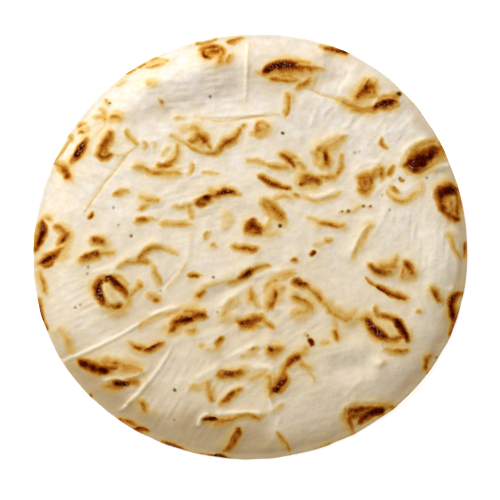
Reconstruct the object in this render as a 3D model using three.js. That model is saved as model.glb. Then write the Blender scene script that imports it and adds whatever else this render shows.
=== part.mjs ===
// A soft flour tortilla, baked on a griddle and laid down with its blistered side up.
// Millimetres, +Z up. The origin is under the middle of the piece, on the surface that it lies on.
import * as THREE from 'three';

// The sheet of dough
const RADIUS = 100.4; // mean radius of the outline
const SHEET_THICK = 2.6; // dough over most of the piece
const RIM_THICK = 1.4; // dough at the rounded rim
const THIN_WIDTH = 18; // how far in from the rim the dough thins
const MIDDLE_LIFT = 3.2; // the middle stands this far off the surface below
const FALL_WIDTH = 20; // mean width of the band where the sheet bends down to its rim
const FALL_SPREAD = 2; // that band is wider at the front and narrower behind by this much
const FALL_WIDEST = 255; // direction of its widest place, degrees
const CONTACT_BACK = 2.5; // the underside lies flat from here out to the rim
const SWELL_FADE = 16; // the swells die out over this distance from the rim
const UNDER_SHARE = 0.7; // how much of each swell the underside follows

// Waves of the outline: count around the rim, height, direction of a crest in degrees
const OUTLINE_WAVES = [
  [1, 0.46, -44],
  [2, 0.8, 39.5],
  [3, 0.7, 83],
  [4, 0.55, 47],
  [5, 0.35, 53],
];

// Places where the rim stands clear of the surface: direction in degrees, half width in degrees, height
const RIM_LIFTS = [
  [2, 16, 1.6],
  [68, 13, 1.3],
  [172, 11, 0.9],
  [318, 15, 1.2],
];

// Broad swells of the sheet: x, y, half length, half width, turn in degrees, height
const SWELLS = [
  [-34, 77, 34, 16, 22, 2.4],
  [26, 72, 28, 17, -20, 1.1],
  [-46, 16, 32, 22, 40, 0.8],
  [63, 10, 30, 24, 80, 0.9],
  [20, -56, 30, 20, 15, 1.0],
  [-44, -54, 18, 11, 35, 0.6],
  [56, -62, 22, 14, 30, 0.7],
  [-76, -26, 22, 16, 100, 0.8],
  [44, -8, 16, 26, 20, -0.7],
  [-10, 36, 24, 12, -10, -0.5],
];

// Creases and fold ridges: start x, y, middle x, y, end x, y, half width, height (below 0 for a groove)
const CREASES = [
  [-85, -55, -60, -43.5, -36, -32, 2.4, 1.0],
  [-57, -75, -43.5, -63, -33.5, -47, 2.4, 1.0],
  [-52, 45.5, -64.5, 31, -76.5, 14.5, 2.2, -0.5],
  [-28, -2, -30, -12, -39, -22, 2.2, -0.35],
  [25, 72, 40, 67, 55, 61.5, 2.4, -0.5],
  [-23, 59.5, 0, 59, 14, 62, 2.4, -0.7],
  [7.5, -61, 8.5, -71, 10, -81, 2.2, 0.4],
  [-25, -83, -10, -76, 9, -81, 2.2, 0.7],
  [-15.5, -32.5, -6, -24.5, 8, -15, 2.4, 0.6],
  [-24, -22.5, -10, -16.5, 7, -7, 2.4, 0.5],
  [-61, -13, -50, -4, -37, 1, 2.4, 0.5],
  [42.5, -81, 46, -74.5, 59, -73.5, 2.2, 0.6],
  [-1.5, 97, -2, 80, -2.5, 63, 2.2, 0.6],
  [-6.5, 95, -6.5, 82, -7.5, 65, 4, -0.7],
  [-58, 57, -36, 60.5, -8, 61, 7, -1.2],
  [84, 32, 89, 33, 95, 34, 2.6, -0.6],
];

// The larger toasted blisters: start x, y, middle x, y, end x, y, width, rise
const BLISTERS = [
  [7, 81, 17, 87, 33, 83.5, 5, 1.0],
  [-23, 92, -20.5, 92.5, -18, 92, 6, 0.8],
  [50, 69, 54, 72.5, 58, 79, 6, 0.9],
  [58, 63, 63, 66.5, 69, 68, 5, 0.9],
  [73, 35, 80, 38.5, 88, 43.5, 9, 1.2],
  [94, 26, 87, 18, 97, 10.5, 4.5, 1.0],
  [33, 43, 34.2, 39.5, 36, 35.5, 4.5, 0.8],
  [23.5, 27, 26, 30.5, 31, 28.5, 5, 0.8],
  [52, 23, 51, 28, 54, 31.5, 6, 0.7],
  [4, 31, 9, 28, 16, 24.5, 3.5, 0.7],
  [-0.5, 7, 1.5, 6.5, 4, 6.5, 7, 0.9],
  [6, 19, 10.5, 14, 13, 12, 6, 0.7],
  [-24, 18, -17, 21.5, -7, 22, 4, 0.9],
  [-77, 48.5, -80, 43, -83.5, 39, 4.5, 0.8],
  [-65, 50, -66.5, 45, -68, 41, 5, 0.7],
  [-95, 10.5, -97, 5, -98, -2, 5, 0.8],
  [-86, -4, -90, -6.5, -95, -10.5, 4.5, 0.8],
  [-77, -8.5, -72, -5.5, -65, -5, 4.5, 0.7],
  [-69, -17, -69.5, -22, -66.5, -29, 4, 0.8],
  [-64, -17.5, -59, -22, -56, -25, 4, 0.8],
  [-35, -41.5, -29.5, -36.5, -22, -34, 5.5, 1.0],
  [-4, -38.5, 1, -37, 9.5, -38, 5, 0.9],
  [-77, -55, -69, -58, -61, -60, 6.5, 1.1],
  [-67, -66, -60, -66.5, -53, -65, 4, 0.8],
  [-13, -61.5, -9, -61.5, -3.5, -59, 5, 0.8],
  [-20, -82, -10, -82.3, 2, -80.5, 4, 0.8],
  [20, -53, 15.5, -60, 12, -68, 5, 1.0],
  [54, -37, 57, -41, 61, -45.5, 5, 1.0],
  [66, -38, 69, -42, 70.5, -45, 4.5, 1.0],
  [20, -19, 23, -19, 26, -20.5, 4, 0.8],
  [12, -23, 11, -25.5, 9, -29.5, 4.5, 0.7],
  [95, -24, 92.8, -31, 91, -41, 4.5, 0.8],
  [46, -79, 52, -80, 58, -77.5, 7, 1.0],
];
const BLISTER_SOFTNESS = 0.65; // a blister's half width as a share of its stated width
const CREASE_TAPER = 0.22; // share of a crease's length over which each end fades out
const PATH_STEPS = 12; // straight steps along a crease or blister

// Points of the mesh: ring i of a disc has 6 * i of them
const TOP_RINGS = 36;
const UNDER_RINGS = 18; // half as many, so each rim point below meets two above
const LIP_STEPS = 2; // extra rings around the rounded rim

const LIP = RIM_THICK / 2;
const FULL_TURN = 2 * Math.PI;
const { degToRad, smoothstep, clamp } = THREE.MathUtils;

function outlineRadius(angle) {
  let radius = RADIUS;
  for (const [count, height, crest] of OUTLINE_WAVES) {
    radius += height * Math.cos(count * (angle - degToRad(crest)));
  }
  return radius;
}

// A curve through its start, middle and end, as short straight steps.
function pathThrough(startX, startY, middleX, middleY, endX, endY) {
  const start = new THREE.Vector2(startX, startY);
  const end = new THREE.Vector2(endX, endY);
  const pull = new THREE.Vector2(2 * middleX - (startX + endX) / 2, 2 * middleY - (startY + endY) / 2);
  return new THREE.QuadraticBezierCurve(start, pull, end).getPoints(PATH_STEPS);
}

// The nearest place of a path to (x, y): how far off it is, and how far along from 0 to 1.
function nearestOnPath(path, x, y) {
  let distance = Infinity;
  let along = 0;
  for (let k = 0; k < PATH_STEPS; k += 1) {
    const a = path[k];
    const b = path[k + 1];
    const stepX = b.x - a.x;
    const stepY = b.y - a.y;
    const share = clamp(((x - a.x) * stepX + (y - a.y) * stepY) / (stepX * stepX + stepY * stepY), 0, 1);
    const gap = Math.hypot(x - a.x - share * stepX, y - a.y - share * stepY);
    if (gap < distance) {
      distance = gap;
      along = (k + share) / PATH_STEPS;
    }
  }
  return { distance, along };
}

const creases = CREASES.map((row) => ({ path: pathThrough(...row.slice(0, 6)), half: row[6], height: row[7] }));
const blisters = BLISTERS.map((row) => ({
  path: pathThrough(...row.slice(0, 6)),
  half: row[6] * BLISTER_SOFTNESS,
  rise: row[7],
}));

// Height of the sheet's underside off the surface before the swells: a quarter wave up from the rim.
function liftAt(inset, angle) {
  const width = FALL_WIDTH + FALL_SPREAD * Math.cos(angle - degToRad(FALL_WIDEST));
  const share = clamp((inset - CONTACT_BACK) / width, 0, 1);
  let height = MIDDLE_LIFT * Math.sin((share * Math.PI) / 2);
  for (const [direction, halfWidth, rise] of RIM_LIFTS) {
    const turn = Math.atan2(Math.sin(angle - degToRad(direction)), Math.cos(angle - degToRad(direction)));
    height += rise * Math.exp(-((turn / degToRad(halfWidth)) ** 2)) * (1 - share);
  }
  return height;
}

function swellAt(x, y, inset) {
  let height = 0;
  for (const [middleX, middleY, halfLength, halfWidth, turn, rise] of SWELLS) {
    const cos = Math.cos(degToRad(turn));
    const sin = Math.sin(degToRad(turn));
    const u = ((x - middleX) * cos + (y - middleY) * sin) / halfLength;
    const v = ((y - middleY) * cos - (x - middleX) * sin) / halfWidth;
    height += rise * Math.exp(-u * u - v * v);
  }
  return height * smoothstep(inset, CONTACT_BACK, SWELL_FADE);
}

// Creases taper to nothing at both ends; blisters are soft mounds along their paths.
function reliefAt(x, y, inset) {
  let height = 0;
  for (const crease of creases) {
    const { distance, along } = nearestOnPath(crease.path, x, y);
    const taper = smoothstep(Math.min(along, 1 - along), 0, CREASE_TAPER);
    height += crease.height * taper * Math.exp(-((distance / crease.half) ** 2));
  }
  for (const blister of blisters) {
    const { distance } = nearestOnPath(blister.path, x, y);
    height += blister.rise * Math.exp(-((distance / blister.half) ** 2));
  }
  return height * smoothstep(inset, LIP, CONTACT_BACK * 2);
}

function underHeight(x, y, inset, angle) {
  return liftAt(inset, angle) + UNDER_SHARE * swellAt(x, y, inset);
}

function topHeight(x, y, inset, angle) {
  const thickness = RIM_THICK + (SHEET_THICK - RIM_THICK) * smoothstep(inset, LIP, THIN_WIDTH);
  return liftAt(inset, angle) + thickness + swellAt(x, y, inset) + reliefAt(x, y, inset);
}

const positions = [];
const triangles = [];

function addPoint(angle, radius, heightAt) {
  const x = radius * Math.cos(angle);
  const y = radius * Math.sin(angle);
  const inset = outlineRadius(angle) - radius;
  positions.push(x, y, heightAt(x, y, inset, angle));
  return positions.length / 3 - 1;
}

function addFace(a, b, c, facesUp) {
  triangles.push(a, facesUp ? b : c, facesUp ? c : b);
}

// A disc of rings about a middle point. The last ring is the edge of the lip, and the one before it
// is the inner edge of the contact band. Gives the last ring's points.
function addDisc(rings, heightAt, facesUp) {
  let inner = [addPoint(0, 0, heightAt)];
  for (let i = 1; i <= rings; i += 1) {
    const outer = [];
    for (let j = 0; j < 6 * i; j += 1) {
      const angle = (FULL_TURN * j) / (6 * i);
      const edge = outlineRadius(angle);
      const radius = i === rings ? edge - LIP : ((edge - CONTACT_BACK) * i) / (rings - 1);
      outer.push(addPoint(angle, radius, heightAt));
    }
    for (let sector = 0; sector < 6; sector += 1) {
      for (let k = 0; k < i; k += 1) {
        const outerA = outer[sector * i + k];
        const outerB = outer[(sector * i + k + 1) % outer.length];
        const innerA = inner[(sector * (i - 1) + k) % inner.length];
        const innerB = inner[(sector * (i - 1) + k + 1) % inner.length];
        addFace(innerA, outerA, outerB, facesUp);
        if (k < i - 1) {
          addFace(innerA, outerB, innerB, facesUp);
        }
      }
    }
    inner = outer;
  }
  return inner;
}

// The rounded rim: half a circle of RIM_THICK from the top's last ring down to the underside's.
function addRim(topRing, underRing) {
  const count = topRing.length;
  let upper = topRing;
  for (let step = 1; step <= LIP_STEPS; step += 1) {
    const tilt = Math.PI / 2 - (Math.PI * step) / (LIP_STEPS + 1);
    const lower = [];
    for (let j = 0; j < count; j += 1) {
      const angle = (FULL_TURN * j) / count;
      const radius = outlineRadius(angle) - LIP * (1 - Math.cos(tilt));
      lower.push(addPoint(angle, radius, () => liftAt(LIP, angle) + LIP * (1 + Math.sin(tilt))));
    }
    for (let j = 0; j < count; j += 1) {
      const next = (j + 1) % count;
      addFace(upper[j], lower[j], lower[next], true);
      addFace(upper[j], lower[next], upper[next], true);
    }
    upper = lower;
  }
  for (let j = 0; j < underRing.length; j += 1) {
    const next = (j + 1) % underRing.length;
    const upperA = upper[2 * j];
    const upperB = upper[2 * j + 1];
    const upperC = upper[(2 * j + 2) % count];
    addFace(upperA, underRing[j], upperB, true);
    addFace(upperB, underRing[j], underRing[next], true);
    addFace(upperB, underRing[next], upperC, true);
  }
}

const topRing = addDisc(TOP_RINGS, topHeight, true);
const underRing = addDisc(UNDER_RINGS, underHeight, false);
addRim(topRing, underRing);

const geometry = new THREE.BufferGeometry();
geometry.setAttribute('position', new THREE.Float32BufferAttribute(positions, 3));
geometry.setIndex(triangles);
geometry.computeVertexNormals();

const bakedDough = new THREE.MeshStandardMaterial({ color: 0xeadfc8, roughness: 0.85, metalness: 0 });
const tortilla = new THREE.Mesh(geometry, bakedDough);
tortilla.name = 'tortilla';

const group = new THREE.Group();
group.add(tortilla);

export default group;
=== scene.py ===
import bpy
import numpy as np
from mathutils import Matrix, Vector


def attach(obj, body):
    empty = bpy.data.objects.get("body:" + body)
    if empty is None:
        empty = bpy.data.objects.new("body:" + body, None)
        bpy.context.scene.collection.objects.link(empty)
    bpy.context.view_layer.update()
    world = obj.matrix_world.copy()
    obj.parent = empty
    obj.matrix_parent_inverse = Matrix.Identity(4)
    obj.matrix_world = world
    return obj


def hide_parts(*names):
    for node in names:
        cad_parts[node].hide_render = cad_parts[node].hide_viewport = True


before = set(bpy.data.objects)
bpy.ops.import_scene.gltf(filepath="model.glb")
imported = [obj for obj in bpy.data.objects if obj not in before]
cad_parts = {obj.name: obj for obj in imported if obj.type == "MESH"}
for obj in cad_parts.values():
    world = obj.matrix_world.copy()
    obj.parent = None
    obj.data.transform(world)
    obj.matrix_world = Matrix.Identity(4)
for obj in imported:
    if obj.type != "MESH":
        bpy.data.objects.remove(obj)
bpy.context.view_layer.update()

# A soft flour tortilla, baked on a griddle, lying blistered side up on a plain pale floor.
# Sizes are in millimetres where nothing else is said, and meshes are in metres.
MM = 0.001

# The sheet of dough, as in the part
RADIUS = 100.4
SHEET_THICK = 2.6
RIM_THICK = 1.4
LIP = RIM_THICK / 2  # radius of the rounded edge
THIN_WIDTH = 18  # width over which the sheet thins towards its rim
MIDDLE_LIFT = 3.2  # height of the middle's underside off the floor
FALL_WIDTH = 20  # mean width over which the sheet bends down to the floor
FALL_SPREAD = 2  # how much wider that is on one side, and narrower on the other
FALL_WIDEST = 255  # direction in which it is widest, in degrees
CONTACT_BACK = 2.5  # width of the rim that lies on the floor
SWELL_FADE = 16  # distance from the rim at which swells have their full height
RELIEF_FADE = 2 * CONTACT_BACK  # the same for the small relief of the top
UNDER_SHARE = 0.7  # share of the swells and of the small relief that shows below

# Waves of the outline: count around the rim, height, direction of a crest in degrees
OUTLINE_WAVES = [
    (1, 0.46, -44),
    (2, 0.8, 39.5),
    (3, 0.7, 83),
    (4, 0.55, 47),
    (5, 0.35, 53),
]
OUTLINE_RAGGED = (6.0, 0.22)  # cell and height of the noise that makes the rim a little uneven
OUTLINE_MARGIN = 0.1  # how far the rim stays inside that outline

# Places where the rim stands clear of the floor: direction and half width in degrees, height
RIM_LIFTS = [
    (2, 16, 1.6),
    (68, 13, 1.3),
    (172, 11, 0.9),
    (318, 15, 1.2),
]

# Broad swells of the sheet: x, y, half length, half width, turn in degrees, height
SWELLS = [
    (-30, 80, 36, 16, 20, 1.2),
    (26, 72, 28, 17, -20, 1.1),
    (-46, 16, 32, 22, 40, 0.8),
    (63, 10, 30, 24, 80, 0.9),
    (20, -56, 30, 20, 15, 1.0),
    (-44, -54, 18, 11, 35, 0.6),
    (56, -62, 22, 14, 30, 0.7),
    (-76, -26, 22, 16, 100, 0.8),
    (44, -8, 16, 26, 20, -0.7),
    (-10, 36, 24, 12, -10, -0.5),
]

# Small bumps of the top alone, by the same six sizes
BUMPS = [
    (58.4, -56.8, 2.5, 2.1, 15, 1.3),
]

# Broad folds and hollows: start x, y, middle x, y, end x, y, half width, height (below 0 for a hollow)
FOLDS = [
    (-60, 71, -28, 81, 16, 84, 8, 0.7),
    (-60, 56, -24, 64, 18, 67, 6.5, -1.0),
    (-10, -33.5, -9, -31.5, -7, -30, 2.8, -0.35),
    (-26, -22.5, -10, -17, 8, -7.5, 3, 0.9),
    (-6.5, 97, -6.5, 82, -7.5, 65, 4, -0.7),
    (85, 31, 90, 32, 95, 33, 2.4, -0.6),
    (43, 67, 48, 77, 50.5, 86, 4, 0.5),
    (39.5, 91, 40.5, 82, 38.5, 70, 4.6, -0.9),
    (-63, -14.5, -50, -5.5, -36, 0, 3, 0.8),
    (-31, -73.5, -29, -71, -27, -68, 2.6, 0.4),
    (33.5, -53.5, 43, -50, 56, -49, 4, 1.0),
    (34, -61, 46, -58.8, 57, -57.7, 4.5, -1.1),
    (52, -23, 61, -28.5, 74, -32.2, 3.5, 0.4),
]

# Sharp creases, with pale crests: the same seven sizes and height
CREASES = [
    (-93, -57.5, -68, -48.8, -45, -35.4, 0.9, 0.75),
    (-47, -36.6, -39, -32.6, -30, -31.3, 1.1, 0.6),
    (-62, -80.5, -45.4, -65, -34.3, -47.5, 1.0, 0.75),
    (-70, -63.5, -55.8, -63.4, -41.8, -57.2, 1.4, 0.5),
    (-70, -54, -58, -55, -43, -56.5, 1.3, 0.2),
    (-52.6, 43.8, -64.2, 29.8, -76.5, 12.6, 1.1, -0.45),
    (-27.5, 2.5, -28.2, -7, -33, -15, 1.1, 0.2),
    (-32, -14, -37.5, -20, -44, -27, 1.0, -0.25),
    (23, 72, 39, 66.2, 55, 61, 1.3, -0.65),
    (-25, 58.4, -8, 56.6, 15, 59.6, 1.3, -0.5),
    (-25, 59.7, -8, 57.9, 14, 60.8, 1.0, 0.42),
    (7.3, -60.9, 8.6, -70.8, 9.9, -81, 1.2, 0.45),
    (11.5, -85.5, 12.5, -83, 14, -81, 1.3, 0.4),
    (-23, -86.5, -22, -81.5, -17, -79.2, 1.3, 0.6),
    (-18, -79.2, -6, -79, 9, -79.3, 1.4, 0.6),
    (-15.6, -32.5, -8, -26, 1, -19.5, 1.6, 0.45),
    (0, -20.3, 8, -15, 17, -14.5, 1.6, 0.45),
    (-1.4, 98.5, -1.9, 80, -2.6, 62, 1.15, 0.5),
    (84, 32, 89, 35, 94, 37, 1.6, 0.5),
    (32.5, 65.5, 29.8, 58.5, 26.5, 51, 1.1, 0.35),
    (39, 64, 36, 61, 33, 58, 1.1, 0.35),
    (48.4, 59.7, 46.8, 56, 43.5, 51.6, 1.1, 0.35),
    (64.8, 55.7, 62.5, 49, 66, 39, 1.5, 0.35),
    (47.3, 29.8, 53, 35.8, 63.5, 35, 1.5, 0.4),
    (54.6, 18.4, 62, 25.5, 69, 30, 1.5, 0.35),
    (69.7, 38.5, 74, 44.5, 86, 50.5, 1.6, 0.5),
    (64, 16.5, 60.2, 8, 54.4, -1.4, 1.2, 0.3),
    (54.5, 8, 48.9, -0.4, 46, -8, 1.2, 0.3),
    (29.6, 39.2, 33, 45.5, 43.7, 50, 1.5, 0.4),
    (25.6, 22.2, 33, 20.3, 41.4, 25.6, 1.5, 0.55),
    (66, 24.2, 71.7, 22.8, 77.3, 28, 1.8, 0.4),
    (-75, -16.2, -66, -13.8, -60, -13.5, 1.6, 0.4),
    (-42, -47.7, -25, -45.5, -6.4, -39.8, 1.8, 0.28),
    (-27, -63.7, -20, -61.2, -12.7, -56.4, 1.6, 0.4),
    (-12.7, -56.4, -5, -51.5, 4.6, -47.2, 1.5, 0.4),
    (41, -73.5, 46, -67.5, 52, -60.5, 1.8, 0.35),
    (42.3, -82, 42.8, -75.5, 50, -74.3, 1.3, 0.3),
    (48, -74.6, 54, -73.8, 60, -73.6, 1.3, 0.25),
    (47, -7.5, 49.4, 0.8, 54.4, 7.6, 1, 0.32),
    (58.4, -47, 59, -49.5, 59.8, -52, 1.0, 0.35),
    (90.5, -24.3, 92, -22.5, 93.5, -21, 1.2, 0.4),
    (4.6, -31.5, 11, -32, 18.4, -31.5, 1.5, 0.4),
    (0.5, -60, 5.5, -58, 12, -61, 1.8, 0.5),
]
BAND_TAPER = 0.22  # share of a band's length over which each end fades out
BAND_REACH = 4  # a band is left out farther from its path than this many half widths
CREST = (0.15, 0.55)  # a crease's crest is paler, partly real paler dough and partly a painted highlight, from the first height up, and palest from the second
BUMP_HIGHLIGHT = 0.35  # a bump's top carries a painted highlight, as pale as a crease of this share of its height

# Stretches of the rim that are darker and more tan, partly real tan and mostly painted shade on the side of
# the rim turned away from the light: direction and half width in degrees, reach inwards, tan
RIM_TANS_AND_SHADE = [
    (267, 62, 22, 0.28),
    (230, 24, 22, 0.42),
    (214, 9, 26, 0.22),
    (232, 16, 14, 0.72),
    (283, 20, 12, 0.66),
    (320, 13, 13, 0.58),
    (338, 25, 8, 0.84),
    (341, 11, 14, 0.9),
    (0, 16, 6, 1.0),
    (24, 10, 9, 0.8),
    (40, 9, 9, 0.42),
]

# Bands where the dough is darker and more tan, partly real tan and mostly painted shade in hollows and on
# slopes turned away from the light: start x, y, middle x, y, end x, y, half width, tan
TAN_AND_SHADE_BANDS = [
    (-50, 60, -20, 70, 24, 75, 7, 0.27),
    (-60, 56.4, -48, 58.6, -35, 62.6, 4.5, 0.34),
    (-30, 81, 0, 84, 28, 85, 12, 0.28),
    (22, 86, 28, 78, 32, 70, 9, 0.3),
    (33, 91, 37, 83, 39, 74, 6, 0.36),
    (4, 40, 30, 46, 68, 26, 17, 0.11),
    (-64, -38, -52, -34, -36, -30, 13, 0.16),
    (-62, -58, -50, -56, -32, -50, 11, 0.2),
    (88, -40, 80, -55, 66, -70, 8, 0.12),
    (-38, -77, -14, -86.5, 14, -89, 8, 0.56),
]
NEAR_PAINTED_SHADE = 0.28  # painted shade, as tan, of the middle on the near side, away from the light
NEAR_RANGE = (0.3, 0.85)  # it grows between these shares of the way from the far rim to the near one
SIDE_RANGE = (45, 90)  # and falls off between these distances to the right and the left,
SIDE_LESS = 0.75  # by this share
EDGE_TAN_AND_SHADE = 0.4  # share of the tan and painted shade on the round edge

# Patches of painted light, paler dough on a slope of the rim that the relief leaves in shade: x, y, half
# length, half width, turn in degrees, paleness
PAINTED_LIGHT_PATCHES = [
    (85.5, -9, 15, 6, 88, 0.8),
]

# Patches of fine crinkles: x, y, reach, direction of the crinkles in degrees, height
CRINKLES = [
    (-24, 71, 24, 6, 0.3),
    (84, 0, 22, 84, 0.25),
    (40, 76, 18, 70, 0.3),
    (-68, 26, 24, -18, 0.2),
    (-30, -70, 20, 58, 0.3),
    (34, -78, 26, 12, 0.12),
    (66, 50, 20, 50, 0.25),
    (-72, -30, 24, 25, 0.2),
    (10, -40, 26, 32, 0.22),
    (-24, 24, 28, 15, 0.2),
    (28, 18, 28, 150, 0.2),
    (64, -40, 26, 120, 0.22),
]
CRINKLE_CELL = (7.0, 1.5)  # length and width of one crinkle

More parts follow.
